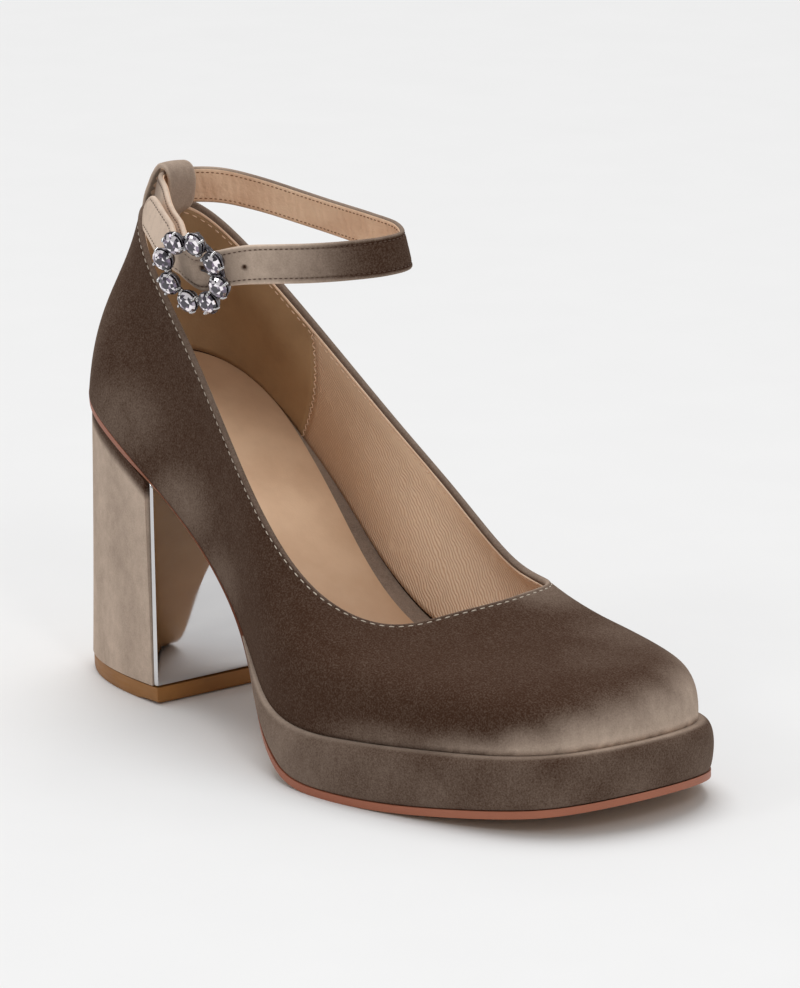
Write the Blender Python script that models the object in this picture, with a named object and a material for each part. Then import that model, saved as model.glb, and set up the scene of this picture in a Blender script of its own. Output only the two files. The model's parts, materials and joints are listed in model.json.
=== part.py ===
"""An ankle strap heeled shoe for the right foot, standing empty on its sole.

Tables and sizes are in millimetres and become metres when a mesh is made.
While the pieces are drawn, X runs from the back of the heel to the toe, Y runs to the inner
side of the foot and Z runs up from the floor. At the end the whole shoe is moved so that the
origin is on the floor under the middle of its box.
"""

import math
from collections import namedtuple

import bmesh
import bpy
import numpy as np
from mathutils import Matrix, Vector

for old in list(bpy.data.objects):
    bpy.data.objects.remove(old, do_unlink=True)

MM = 0.001
GAP = 0.3  # air between neighbouring pieces

# The upper: one wall of velvet, stiffener and lining round the foot
WALL = 1.8
COLUMNS_PER_SECTION = 4
WALL_LEVELS = 10

# The bottom stock
OUTSOLE_THICK = 2.2
INSOLE_THICK = 2.8
SOCK_THICK = 0.7
PLATFORM_FIRST_COLUMN = 17  # where the wedge under the waist starts

# The heel
LIFT_THICK = 5.2
BREAST_TOP_X = 52.0
BREAST_BOTTOM_X = 56.5
BREAST_TOP_HALF = 28.8
BREAST_BOTTOM_HALF = 31.0
HEEL_BACK_X = 0.3
HEEL_ROUND = 2.35  # 2 is an ellipse, more is squarer
PLATE_THICK = 2.2
PLATE_ROUND = 0.8

# The strap, its loop and the buckle
STRAP_WIDE = 11.4
STRAP_THICK = 1.4
LOOP_WIDE = 10.0
LOOP_THICK = 1.4
STRAP_LEAN = 14.0  # degrees that its top edge leans in to the ankle
ANKLE_AT = (60.0, -2.0)  # the middle of the strap's ring in plan
BUCKLE_AT = (71.4, -22.9, 134.8)  # the middle of the bar
BUCKLE_TURN = 15.0  # degrees that the buckle's face looks forward of straight out
BUCKLE_TILT = 4.0  # degrees that its front edge rises
BUCKLE_LEAN = -15.0  # degrees that its top leans in to the ankle: its weight rolls it outwards
RING_RADIUS = 9.9
RING_BASE = 4.6  # out from the bar to the back of the frame
RING_TOP = 7.0
BRIDGE_HALF = 1.2  # of the frame between two cups
STONES = 8
CUP_RADIUS = 3.6
STONE_RADIUS = 3.1

Section = namedtuple("Section", "name feather_x feather_y top_x top_y top_z lean rise fall reach")
# One row per section round the upper, from the back of the heel along the outer side to the toe
# and home along the inner side. The wall leaves the feather line (its edge on the sole) at the
# angle lean, with a handle as long as rise, and comes to the collar at the angle fall, with a
# handle as long as reach.
SECTIONS = [
    Section("back", 4.0, 0.0, 18.5, 0.0, 143.5, 94.5, 28.0, -76.0, 22.0),
    Section("back outer", 10.7, -19.3, 23.0, -10.2, 141.5, 94.0, 28.0, -78.0, 22.0),
    Section("heel outer", 28.0, -30.0, 37.0, -18.5, 130.5, 93.0, 23.5, -82.0, 20.0),
    Section("breast outer", 58.5, -30.0, 64.0, -24.5, 109.0, 91.5, 19.0, -87.0, 16.0),
    Section("waist outer", 94.5, -32.0, 93.5, -31.0, 83.5, 87.0, 16.5, -83.0, 14.5),
    Section("arch outer", 125.0, -44.0, 116.5, -35.0, 65.5, 84.0, 16.5, -73.0, 15.0),
    Section("joint outer", 156.0, -48.0, 136.5, -31.5, 50.5, 86.0, 20.0, -38.0, 16.0),
    Section("toe outer", 192.0, -38.5, 151.5, -20.5, 44.0, 88.0, 22.5, -19.0, 27.0),
    Section("corner outer", 220.5, -23.5, 159.5, -6.0, 46.0, 89.5, 23.0, -19.0, 37.0),
    Section("toe", 230.0, 3.0, 163.5, 8.5, 48.0, 88.5, 23.5, -20.5, 43.0),
    Section("corner inner", 223.5, 31.0, 163.5, 21.0, 49.0, 88.0, 24.5, -23.0, 41.0),
    Section("toe inner", 196.5, 41.5, 158.5, 32.0, 49.0, 87.0, 23.0, -27.0, 32.5),
    Section("joint inner", 165.0, 41.5, 141.0, 34.5, 51.5, 86.5, 20.0, -43.0, 19.0),
    Section("arch inner", 128.5, 31.5, 117.0, 35.0, 65.5, 83.5, 17.0, -72.0, 15.5),
    Section("waist inner", 95.0, 26.5, 94.0, 31.0, 83.5, 84.0, 16.5, -83.0, 14.5),
    Section("breast inner", 58.5, 30.0, 64.0, 24.5, 109.0, 92.0, 19.0, -87.0, 16.0),
    Section("heel inner", 28.0, 29.5, 37.0, 18.5, 130.5, 94.5, 23.0, -82.0, 20.0),
    Section("back inner", 10.0, 20.0, 23.0, 10.4, 141.5, 95.0, 27.5, -77.5, 22.0),
]

Station = namedtuple("Station", "x feather tread")
# The bottom seen from the side: the height of the feather line and of the outsole's underside
PROFILE = [
    Station(-10, 94.5, 92.0),
    Station(0, 92.5, 90.0),
    Station(25, 83.5, 81.0),
    Station(50, 69.5, 67.0),
    Station(75, 53.5, 51.0),
    Station(90, 41.8, 39.3),
    Station(100, 34.3, 31.3),
    Station(110, 27.6, 22.6),
    Station(120, 22.4, 14.4),
    Station(130, 19.2, 6.8),
    Station(140, 17.8, 1.6),
    Station(150, 17.5, 0.0),
    Station(165, 18.3, 0.0),
    Station(178, 19.0, 0.4),
    Station(190, 19.8, 1.4),
    Station(205, 20.9, 3.1),
    Station(215, 21.8, 4.3),
    Station(224, 22.8, 5.4),
    Station(234, 24.2, 7.6),
    Station(245, 26.2, 10.2),
]

Edge = namedtuple("Edge", "x sole skive platform sock_outer sock_inner")
# How far the outsole and the platform stand out past the feather line, how far the outsole's
# underside is pared back, and how far the sock stops inside the insole's edge on either side
EDGES = [
    Edge(0, 0.2, 0.0, 0.0, 0.5, 0.5),
    Edge(40, 0.2, 0.5, 0.0, 0.5, 0.8),
    Edge(52, 0.2, 1.6, 0.0, 0.5, 2.0),
    Edge(62, 0.2, 2.3, 0.0, 0.5, 3.2),
    Edge(75, 0.3, 2.4, 0.0, 0.5, 4.2),
    Edge(90, 0.4, 2.4, 0.0, 0.5, 5.2),
    Edge(100, 0.5, 2.0, 0.3, 0.5, 6.2),
    Edge(110, 0.9, 1.2, 0.9, 0.6, 6.8),
    Edge(125, 2.2, 0.3, 2.4, 0.8, 7.2),
    Edge(145, 3.3, 0.0, 3.5, 1.2, 7.4),
    Edge(165, 3.4, 0.0, 3.6, 1.6, 7.0),
    Edge(250, 4.7, 0.0, 5.0, 3.0, 5.0),
]

WallRow = namedtuple("WallRow", "share out")
PLATFORM_WALL = [
    WallRow(0.0, -0.6),
    WallRow(0.10, 0.0),
    WallRow(0.40, 0.5),
    WallRow(0.64, 0.35),
    WallRow(0.78, -0.1),
    WallRow(0.88, -0.7),
    WallRow(0.95, -1.5),
    WallRow(1.0, -2.8),
]

Way = namedtuple("Way", "x y z")


def on_buckle(along, up, out):
    """A place from the middle of the buckle's bar: along the strap, up across it, out from the foot."""
    turn = Matrix.Rotation(math.radians(BUCKLE_TURN), 3, "Z")
    lean = Matrix.Rotation(math.radians(-BUCKLE_LEAN), 3, "X")
    tilt = Matrix.Rotation(math.radians(-BUCKLE_TILT), 3, "Y")
    return np.array(BUCKLE_AT) + np.array(turn @ lean @ tilt @ Vector((along, -out, up)))


# The strap's middle line: from the folded end inside the buckle, round the bar, back along the
# outer side, through the loop, along the inner side, round the front, under and over the buckle
# and back to the tip
STRAP_ROUTE = [
    on_buckle(-9.6, 1.6, -5.2),
    on_buckle(-4.8, -0.7, -2.3),
    on_buckle(0.0, -1.9, -1.8),
    on_buckle(1.3, -2.0, -1.3),
    on_buckle(1.8, -2.0, 0.0),
    on_buckle(1.3, -2.0, 1.3),
    on_buckle(0.0, -1.9, 1.8),
    on_buckle(-4.6, -0.6, 0.2),
    on_buckle(-9.0, 1.5, -2.6),
    Way(55.0, -21.3, 139.2),
    Way(46.0, -17.8, 141.8),
    Way(36.0, -12.0, 145.4),
    Way(27.2, -6.6, 147.0),
    Way(24.2, 0.0, 147.3),
    Way(26.8, 7.2, 147.4),
    Way(33.0, 12.8, 147.3),
    Way(43.0, 18.6, 145.6),
    Way(59.0, 24.4, 142.6),
    Way(73.0, 26.4, 141.0),
    Way(87.0, 27.4, 139.8),
    Way(98.6, 27.4, 138.6),
    Way(105.0, 23.6, 137.6),
    Way(105.6, 15.6, 137.0),
    Way(101.0, 6.6, 136.2),
    Way(94.6, -2.6, 135.6),
    Way(88.4, -10.6, 135.4),
    on_buckle(13.4, -1.0, -2.3),
    on_buckle(9.3, -0.6, 0.6),
    on_buckle(5.0, -0.9, 2.6),
    on_buckle(0.0, -1.6, 3.6),
    on_buckle(-4.6, -0.4, 2.5),
    on_buckle(-9.0, 1.5, 0.8),
    on_buckle(-11.8, 2.6, -0.5),
    Way(50.0, -23.4, 141.0),
    Way(42.6, -20.6, 143.4),
    Way(38.2, -18.8, 144.4),
]

# The loop's middle line at the back of the heel, from its outer end over the strap to its inner end
LOOP_ROUTE = [
    Way(13.6, 0.0, 131.5),
    Way(15.2, 0.0, 136.0),
    Way(16.5, 0.0, 140.5),
    Way(17.7, 0.0, 144.4),
    Way(19.4, 0.0, 147.6),
    Way(21.6, 0.0, 151.2),
    Way(24.6, 0.0, 154.1),
    Way(27.8, 0.0, 153.7),
    Way(29.4, 0.0, 150.6),
    Way(29.1, 0.0, 146.0),
    Way(27.4, 0.0, 142.0),
    Way(24.6, 0.0, 140.2),
    Way(22.2, 0.0, 138.8),
    Way(20.7, 0.0, 136.6),
]

Colour = namedtuple("Colour", "red green blue rough metal")
VELVET = Colour(0.085, 0.055, 0.040, 0.95, 0.0)
LEATHER = Colour(0.42, 0.27, 0.17, 0.55, 0.0)
EDGE_RED = Colour(0.42, 0.13, 0.07, 0.6, 0.0)
RUBBER = Colour(0.28, 0.13, 0.045, 0.6, 0.0)
CHROME = Colour(0.8, 0.8, 0.8, 0.06, 1.0)
CRYSTAL = Colour(0.62, 0.58, 0.64, 0.05, 0.0)


def column_of(rows, name):
    """One named column of a table."""
    return np.array([getattr(row, name) for row in rows], float)


def along_table(rows, name, x):
    """A smooth, never overshooting curve through one column of a table, read at x."""
    xs = column_of(rows, "x")
    ys = column_of(rows, name)
    steps = np.diff(xs)
    slopes = np.diff(ys) / steps
    turn = np.zeros(len(xs))
    turn[0] = slopes[0]
    turn[-1] = slopes[-1]
    for i in range(1, len(xs) - 1):
        if slopes[i - 1] * slopes[i] > 0:
            before = 2 * steps[i] + steps[i - 1]
            after = steps[i] + 2 * steps[i - 1]
            turn[i] = (before + after) / (before / slopes[i - 1] + after / slopes[i])
    x = np.clip(np.asarray(x, float), xs[0], xs[-1])
    i = np.clip(np.searchsorted(xs, x) - 1, 0, len(steps) - 1)
    t = (x - xs[i]) / steps[i]
    ends = ys[i] * (1 + 2 * t) * (1 - t) ** 2 + ys[i + 1] * t * t * (3 - 2 * t)
    return ends + steps[i] * (turn[i] * t * (1 - t) ** 2 + turn[i + 1] * t * t * (t - 1))


def feather(x):
    return along_table(PROFILE, "feather", x)


def tread(x):
    return along_table(PROFILE, "tread", x)


def closed_spline(values, steps):
    """A closed cubic spline through the rows of values, with so many steps to each row."""
    values = np.asarray(values, float)
    count = len(values)
    ahead = np.roll(values, -1, axis=0)
    behind = np.roll(values, 1, axis=0)
    band = 4 * np.eye(count) + np.roll(np.eye(count), 1, axis=1) + np.roll(np.eye(count), -1, axis=1)
    bend = np.linalg.solve(band, 6 * (ahead - 2 * values + behind))
    bend_ahead = np.roll(bend, -1, axis=0)
    made = []
    for step in range(steps):
        t = step / steps
        s = 1 - t
        cubic = (s**3 - s) * bend + (t**3 - t) * bend_ahead
        made.append(s * values + t * ahead + cubic / 6)
    return np.stack(made, axis=1).reshape(count * steps, -1)


def open_spline(points, longest):
    """Points along a smooth open curve, no further apart than longest and three to a row at least.

    Each way through a row is weighed by the root of the distances, so close rows don't overshoot.
    """
    points = np.asarray(points, float)
    ends = np.vstack([2 * points[0] - points[1], points, 2 * points[-1] - points[-2]])
    made = []
    for a, b, c, d in zip(ends, ends[1:], ends[2:], ends[3:]):
        before, during, after = (math.sqrt(np.linalg.norm(q - p)) for p, q in ((a, b), (b, c), (c, d)))
        leave = (b - a) / before - (c - a) / (before + during) + (c - b) / during
        arrive = (c - b) / during - (d - b) / (during + after) + (d - c) / after
        steps = max(3, math.ceil(np.linalg.norm(c - b) / longest))
        for t in np.arange(steps) / steps:
            s = 1 - t
            ends_part = b * (1 + 2 * t) * s * s + c * (3 - 2 * t) * t * t
            made.append(ends_part + during * (leave * t * s * s - arrive * t * t * s))
    made.append(points[-1])
    return np.array(made)


def plan_normals(outline):
    """Unit vectors that point out of a closed outline that runs anticlockwise."""
    along = np.roll(outline, -1, axis=0) - np.roll(outline, 1, axis=0)
    out = np.stack([along[:, 1], -along[:, 0]], axis=1)
    return out / np.linalg.norm(out, axis=1, keepdims=True)


def material(name, colour):
    made = bpy.data.materials.get(name)
    if made:
        return made
    made = bpy.data.materials.new(name)
    made.use_nodes = True
    shader = made.node_tree.nodes["Principled BSDF"]
    shader.inputs["Base Color"].default_value = (colour.red, colour.green, colour.blue, 1.0)
    shader.inputs["Roughness"].default_value = colour.rough
    shader.inputs["Metallic"].default_value = colour.metal
    return made


def add_object(name, bm, stuff, colour):
    """The finished mesh as an object of its own, with its faces turned out."""
    bmesh.ops.recalc_face_normals(bm, faces=bm.faces)
    bmesh.ops.scale(bm, vec=(MM, MM, MM), verts=bm.verts)
    mesh = bpy.data.meshes.new(name)
    bm.to_mesh(mesh)
    bm.free()
    mesh.materials.append(material(stuff, colour))
    made = bpy.data.objects.new(name, mesh)
    bpy.context.scene.collection.objects.link(made)
    return made


def grid_faces(bm, rows, closed=False):
    """Quads between rows of vertices, round to the first row again if closed."""
    pairs = list(zip(rows, rows[1:]))
    if closed:
        pairs.append((rows[-1], rows[0]))
    for low, high in pairs:
        for a, b, c, d in zip(low, low[1:], high[1:], high):
            corners = list(dict.fromkeys((a, b, c, d)))
            if len(corners) > 2:
                bm.faces.new(corners)


def thicken(obj, thick, offset):
    solid = obj.modifiers.new("thickness", "SOLIDIFY")
    solid.thickness = thick * MM
    solid.offset = offset
    solid.use_even_offset = True


def soften(obj, width, segments=2):
    bevel = obj.modifiers.new("soft edges", "BEVEL")
    bevel.width = width * MM
    bevel.segments = segments
    bevel.limit_method = "ANGLE"
    bevel.angle_limit = math.radians(50)
    bevel.harden_normals = False


def block(name, levels, low, high, stuff, colour, across=4):
    """A solid between an outer and an inner side that are drawn from back to front.

    Each level is a pair of lists of points, one list for each side. The lowest level is closed by
    the surface low(x) and the highest by high(x). Sides that start or end in one point meet there.
    """
    bm = bmesh.new()
    last = len(levels[0][0]) - 1
    shares = np.linspace(0, 1, across + 1)

    def row_across(outer, inner, height):
        if np.allclose(outer, inner):
            return [bm.verts.new(outer)] * (across + 1)
        row = []
        for share in shares:
            point = (1 - share) * outer + share * inner
            if 0 < share < 1 and height:
                point[2] = height(point[0])
            row.append(bm.verts.new(point))
        return row

    rows = []
    for number, (outer, inner) in enumerate(levels):
        height = {0: low, len(levels) - 1: high}.get(number)
        level = {}
        for k in range(last + 1):
            capped = number in (0, len(levels) - 1)
            if capped or (k in (0, last) and not np.allclose(outer[k], inner[k])):
                level[k] = row_across(np.array(outer[k]), np.array(inner[k]), height)
            elif np.allclose(outer[k], inner[k]):
                level[k] = [bm.verts.new(outer[k])] * 2
            else:
                level[k] = [bm.verts.new(outer[k]), bm.verts.new(inner[k])]
        rows.append(level)
    for side in (0, -1):
        grid_faces(bm, [[level[k][side] for k in range(last + 1)] for level in rows])
    for level in (rows[0], rows[-1]):
        grid_faces(bm, [level[k] for k in range(last + 1)])
    for k in (0, last):
        if rows[0][k][0] is not rows[0][k][-1]:
            grid_faces(bm, [level[k] for level in rows])
    return add_object(name, bm, stuff, colour)


def ribbon(name, middle, half_widths, thick, stuff, colour, side_at, bow=0.0):
    """A flat strip of even thickness along a middle line. side_at(point) is the way across it."""
    bm = bmesh.new()
    along = np.gradient(middle, axis=0)
    along /= np.linalg.norm(along, axis=1, keepdims=True)
    rows = []
    for point, heading, half in zip(middle, along, half_widths):
        wide = side_at(point)
        wide = wide - (wide @ heading) * heading
        wide /= np.linalg.norm(wide)
        row = []
        for share in np.linspace(-1, 1, 5):
            place = point + share * half * wide
            place[0] += bow * share**2
            row.append(bm.verts.new(place))
        rows.append(row)
    grid_faces(bm, rows)
    made = add_object(name, bm, stuff, colour)
    thicken(made, thick, 0.0)
    return made


def wire(name, points, radius, stuff, colour):
    """A round wire through points, with closed ends."""
    curve = bpy.data.curves.new(name, "CURVE")
    curve.dimensions = "3D"
    curve.bevel_depth = radius * MM
    curve.bevel_resolution = 2
    curve.use_fill_caps = True
    spline = curve.splines.new("POLY")
    spline.points.add(len(points) - 1)
    for knot, point in zip(spline.points, points):
        knot.co = (*(value * MM for value in point), 1.0)
    curve.materials.append(material(stuff, colour))
    made = bpy.data.objects.new(name, curve)
    bpy.context.scene.collection.objects.link(made)
    return made


# The feather line, drawn once and shared by every piece of the bottom
FEATHER = closed_spline(
    np.stack([column_of(SECTIONS, "feather_x"), column_of(SECTIONS, "feather_y")], axis=1),
    COLUMNS_PER_SECTION,
)
FEATHER_OUT = plan_normals(FEATHER)
COLUMNS = len(FEATHER)
HALF = COLUMNS // 2


def offset_outline(offsets):
    """The feather line moved out in plan by a number or by one number for each column."""
    return FEATHER + FEATHER_OUT * np.broadcast_to(offsets, COLUMNS)[:, None]


def two_sides(outline, first=0):
    """A closed outline as an outer and an inner side, each from its back column to the toe."""
    outer = outline[first : HALF + 1]
    inner = np.roll(outline[::-1], 1, axis=0)[first : HALF + 1]
    return outer, inner


def at_height(outline, height, first=0):
    """Both sides of an outline, laid on the surface height(x)."""
    return tuple(np.column_stack([side, height(side[:, 0])]) for side in two_sides(outline, first))


def make_upper():
    """The wall is a Bezier curve in each column, from the feather line up to the collar."""
    shape = {
        name: closed_spline(column_of(SECTIONS, name)[:, None], COLUMNS_PER_SECTION)[:, 0]
        for name in Section._fields[3:]
    }
    foot = np.column_stack([FEATHER, feather(FEATHER[:, 0])])
    top = np.column_stack([shape["top_x"], shape["top_y"], shape["top_z"]])
    lean = np.radians(shape["lean"])
    fall = np.radians(shape["fall"])
    # Where the wall runs far in over the foot, it leaves the collar along the way to its own foot.
    reach_in = FEATHER - top[:, :2]
    spread = np.linalg.norm(reach_in, axis=1)
    share = np.clip((spread - 8) / 20, 0, 1)[:, None]
    way = (1 - share) * FEATHER_OUT + share * reach_in / np.maximum(spread, 0.001)[:, None]
    way /= np.linalg.norm(way, axis=1, keepdims=True)
    low_handle = foot + shape["rise"][:, None] * np.column_stack(
        [FEATHER_OUT * np.cos(lean)[:, None], np.sin(lean)]
    )
    high_handle = top + shape["reach"][:, None] * np.column_stack(
        [way * np.cos(fall)[:, None], np.sin(fall)]
    )
    bm = bmesh.new()
    columns = [[] for _ in range(COLUMNS)]
    for t in np.linspace(0, 1, WALL_LEVELS):
        s = 1 - t
        ring = s**3 * foot + 3 * s * s * t * low_handle + 3 * s * t * t * high_handle + t**3 * top
        for column, point in zip(columns, ring):
            column.append(bm.verts.new(point))
    grid_faces(bm, columns, closed=True)
    upper = add_object("upper", bm, "velvet", VELVET)
    thicken(upper, WALL, -1.0)
    return upper


def make_bottom():
    """Outsole, platform, insole and sock: sheets and a wedge that share the feather line."""
    stand_out = along_table(EDGES, "sole", FEATHER[:, 0])
    sole = offset_outline(stand_out)
    pared = offset_outline(stand_out - along_table(EDGES, "skive", FEATHER[:, 0]))
    block(
        "outsole",
        [at_height(pared, tread), at_height(sole, lambda x: tread(x) + OUTSOLE_THICK)],
        tread,
        lambda x: tread(x) + OUTSOLE_THICK,
        "sole edge",
        EDGE_RED,
    )

    def under(x):
        return tread(x) + OUTSOLE_THICK + GAP

    def over(x):
        return feather(x) - GAP

    edge = along_table(EDGES, "platform", FEATHER[:, 0])
    levels = []
    for row in PLATFORM_WALL:
        swell = np.clip(edge / 3.5, 0.1, 1.0)
        outline = offset_outline(edge + row.out * swell)
        levels.append(
            at_height(
                outline,
                lambda x, share=row.share: under(x) + share * (over(x) - under(x)),
                PLATFORM_FIRST_COLUMN,
            )
        )
    block("platform", levels, under, over, "velvet", VELVET)

    board = offset_outline(-(WALL + 0.5))
    board_top = lambda x: feather(x) + INSOLE_THICK
    block(
        "insole",
        [at_height(board, feather), at_height(board, board_top)],
        feather,
        board_top,
        "velvet",
        VELVET,
    )
    inside = np.concatenate(
        [
            along_table(EDGES, "sock_outer", FEATHER[:HALF, 0]),
            along_table(EDGES, "sock_inner", FEATHER[HALF:, 0]),
        ]
    )
    sheet = offset_outline(-(WALL + 0.5) - inside)
    sheet_low = lambda x: board_top(x) + GAP
    sheet_top = lambda x: sheet_low(x) + SOCK_THICK
    block(
        "sock",
        [at_height(sheet, sheet_low), at_height(sheet, sheet_top)],
        sheet_low,
        sheet_top,
        "leather",
        LEATHER,
    )


def even_steps(path, count):
    """The same path in so many even steps of length."""
    done = np.concatenate([[0], np.cumsum(np.linalg.norm(np.diff(path, axis=0), axis=1))])
    wanted = np.linspace(0, done[-1], count)
    return np.column_stack([np.interp(wanted, done, path[:, i]) for i in range(path.shape[1])])


HEEL_STEPS = 14


def heel_floor_outline(front_x, inset=0.0):
    """Both sides of the heel at the floor, from its back to front_x: half of a squared ellipse."""
    angles = np.linspace(math.pi / 2, 0, 60)
    long = front_x - HEEL_BACK_X - inset
    half = BREAST_BOTTOM_HALF - inset
    x = front_x - long * np.sin(angles) ** (2 / HEEL_ROUND)
    y = half * np.cos(angles) ** (2 / HEEL_ROUND)
    y[0] = 0.0
    outer = even_steps(np.column_stack([x, -y]), HEEL_STEPS)
    return outer, outer * (1, -1)


def heel_seat_outline(front_x):
    """Both sides of the heel under its seat: the feather line a little inside, cut at front_x."""
    seat = offset_outline(-0.6)
    sides = []
    for side in two_sides(seat):
        before = side[side[:, 0] < front_x]
        after = side[len(before)]
        share = (front_x - before[-1, 0]) / (after[0] - before[-1, 0])
        sides.append(even_steps(np.vstack([before, before[-1] + share * (after - before[-1])]), HEEL_STEPS))
    return sides


def make_heel():
    seat = lambda x: tread(x) - GAP
    lift_top = lambda x: np.zeros_like(x) + LIFT_THICK
    block_floor = lambda x: np.zeros_like(x) + LIFT_THICK + GAP
    floor_sides = heel_floor_outline(BREAST_BOTTOM_X - PLATE_THICK - GAP)
    seat_sides = heel_seat_outline(BREAST_TOP_X - PLATE_THICK - GAP)
    levels = []
    for share in np.linspace(0, 1, 6):
        sides = []
        for low, high in zip(floor_sides, seat_sides):
            flat = (1 - share) * low + share * high
            z = (1 - share) * block_floor(low[:, 0]) + share * seat(high[:, 0])
            sides.append(np.column_stack([flat, z]))
        levels.append(tuple(sides))
    block("heel_block", levels, block_floor, seat, "velvet", VELVET)

    levels = []
    for share in (0.0, 0.25, 0.5, 0.75, 1.0):
        front = (1 - share) * BREAST_BOTTOM_X + share * BREAST_TOP_X
        half = (1 - share) * BREAST_BOTTOM_HALF + share * BREAST_TOP_HALF
        x = np.array([front - PLATE_THICK, front])
        z = (1 - share) * block_floor(x) + share * seat(x)
        levels.append((np.column_stack([x, [-half] * 2, z]), np.column_stack([x, [half] * 2, z])))
    plate = block("heel_breast_plate", levels, block_floor, seat, "chrome", CHROME)
    soften(plate, PLATE_ROUND, segments=3)

    levels = []
    for z, inset in ((0.0, 0.6), (0.7, 0.0), (LIFT_THICK, 0.0)):
        sides = heel_floor_outline(BREAST_BOTTOM_X - inset, inset)
        levels.append(tuple(np.column_stack([side, np.full(HEEL_STEPS, z)]) for side in sides))
    block("heel_top_lift", levels, lambda x: 0 * x, lift_top, "rubber", RUBBER)


def rounded_tip(middle, half, radius):
    """Half widths along a strip whose last end is rounded."""
    back = np.linalg.norm(np.diff(middle, axis=0), axis=1)[::-1]
    left = np.concatenate([[0], np.cumsum(back)])[::-1]
    near = np.clip(left, 0.25, radius)
    return half - radius + np.sqrt(radius**2 - (radius - near) ** 2)


def make_strap():
    middle = open_spline(STRAP_ROUTE, 3.2)
    tip = middle[-1] - middle[-2]
    tip /= np.linalg.norm(tip)
    middle = np.vstack([middle, middle[-1] + 1.0 * tip, middle[-1] + 1.6 * tip, middle[-1] + 1.9 * tip])
    halves = rounded_tip(middle, STRAP_WIDE / 2, 5.2)
    at_bar = on_buckle(0, 1, 0) - on_buckle(0, 0, 0)

    def strap_side(point):
        """Straight up with a lean to the ankle, and as the buckle's bar stands near the buckle."""
        inward = np.array(ANKLE_AT) - point[:2]
        inward *= math.tan(math.radians(STRAP_LEAN)) / np.linalg.norm(inward)
        away = np.linalg.norm(point - on_buckle(0, 0, 0))
        share = np.clip((18 - away) / 10, 0, 1)
        return (1 - share) * np.array([*inward, 1.0]) + share * at_bar

    ribbon("ankle_strap", middle, halves, STRAP_THICK, "velvet", VELVET, strap_side)
    over = open_spline(LOOP_ROUTE, 3.0)
    ribbon(
        "heel_loop",
        over,
        [LOOP_WIDE / 2] * len(over),
        LOOP_THICK,
        "velvet",
        VELVET,
        lambda point: np.array([0.0, 1.0, 0.0]),
        bow=0.7,
    )


def make_buckle():
    share = 2 * math.pi / STONES  # of the ring, to each stone
    centres = (np.arange(STONES) + 0.5) * share
    per_stone = 8
    bm = bmesh.new()
    rings = []
    for centre in centres:
        for step in range(per_stone):
            turned = (step / per_stone - 0.5) * share
            half = math.sqrt(max(CUP_RADIUS**2 - (turned * RING_RADIUS) ** 2, BRIDGE_HALF**2))
            direction = np.array([math.cos(centre + turned), math.sin(centre + turned)])
            corners = [
                (-half + 0.5, RING_BASE),
                (half - 0.5, RING_BASE),
                (half, RING_BASE + 0.9),
                (half, RING_TOP - 0.5),
                (half - 0.5, RING_TOP),
                (-half + 0.5, RING_TOP),
                (-half, RING_TOP - 0.5),
                (-half, RING_BASE + 0.9),
            ]
            ring = []
            for across, out in corners:
                place = (RING_RADIUS + across) * direction
                ring.append(bm.verts.new(on_buckle(place[0], place[1], out)))
            rings.append(ring + ring[:1])
    grid_faces(bm, rings, closed=True)
    add_object("buckle_frame", bm, "chrome", CHROME)

    foot = RING_BASE - GAP
    end = RING_RADIUS - 0.4
    staple = [(end, foot), (end, 1.2), (end - 0.3, 0.4), (end - 1.1, 0.0)]
    staple += [(-up, out) for up, out in reversed(staple)]
    wire("buckle_bar", [on_buckle(0.0, up, out) for up, out in staple], 0.75, "chrome", CHROME)
    prong = [(2.2, 0.0, 5.0), (4.5, 0.0, 5.4), (6.6, 0.0, 7.2), (7.6, 0.0, 7.85), (11.0, 0.0, 7.85)]
    wire("buckle_prong", [on_buckle(*point) for point in prong], 0.45, "chrome", CHROME)

    # A cut stone sits in each cup: a short foot, a girdle and a crown with a flat table
    cut = [(2.0, 0.0), (STONE_RADIUS, 0.7), (STONE_RADIUS, 0.9), (1.6, 2.0)]
    for number, angle in enumerate(centres, start=1):
        bm = bmesh.new()
        rings = []
        for radius, rise in cut:
            ring = []
            for side in range(8):
                way = (side + 0.5) * math.pi / 4
                ring.append(
                    bm.verts.new(
                        on_buckle(
                            RING_RADIUS * math.cos(angle) + radius * math.cos(way),
                            RING_RADIUS * math.sin(angle) + radius * math.sin(way),
                            RING_TOP + GAP + rise,
                        )
                    )
                )
            rings.append(ring + ring[:1])
        grid_faces(bm, rings)
        bm.faces.new(rings[0][:8])
        bm.faces.new(rings[-1][:8])
        add_object(f"buckle_stone_{number}", bm, "crystal", CRYSTAL)


def stand_on_origin():
    """Moves the shoe so that the origin is on the floor under the middle of its box."""
    bpy.context.view_layer.update()
    graph = bpy.context.evaluated_depsgraph_get()
    points = []
    for obj in bpy.context.scene.objects:
        mesh = obj.evaluated_get(graph).to_mesh()
        points.extend(obj.matrix_world @ vertex.co for vertex in mesh.vertices)
    low = np.min(points, axis=0)
    high = np.max(points, axis=0)
    shift = (-(low[0] + high[0]) / 2, -(low[1] + high[1]) / 2, -low[2])
    for obj in bpy.context.scene.objects:
        obj.data.transform(Matrix.Translation(shift))
    print("moved by", [round(value / MM, 2) for value in shift], "size", np.round((high - low) / MM, 1))


make_upper()
make_bottom()
make_heel()
make_strap()
make_buckle()
stand_on_origin()
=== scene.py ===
# %% [markdown]
# # A taupe velvet shoe with an ankle strap
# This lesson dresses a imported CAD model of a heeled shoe. The solids already have the right size
# and place, so nothing here is moved. Each step takes one piece of the shoe, says what it is on
# the real object, and gives it a finer mesh and a finish of its own.
# Lengths in the tables are millimetres, measured from the back of the heel (x, to the toe), from
# the middle of the heel (y, to the inner side of the foot) and from the floor (z, up).

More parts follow.
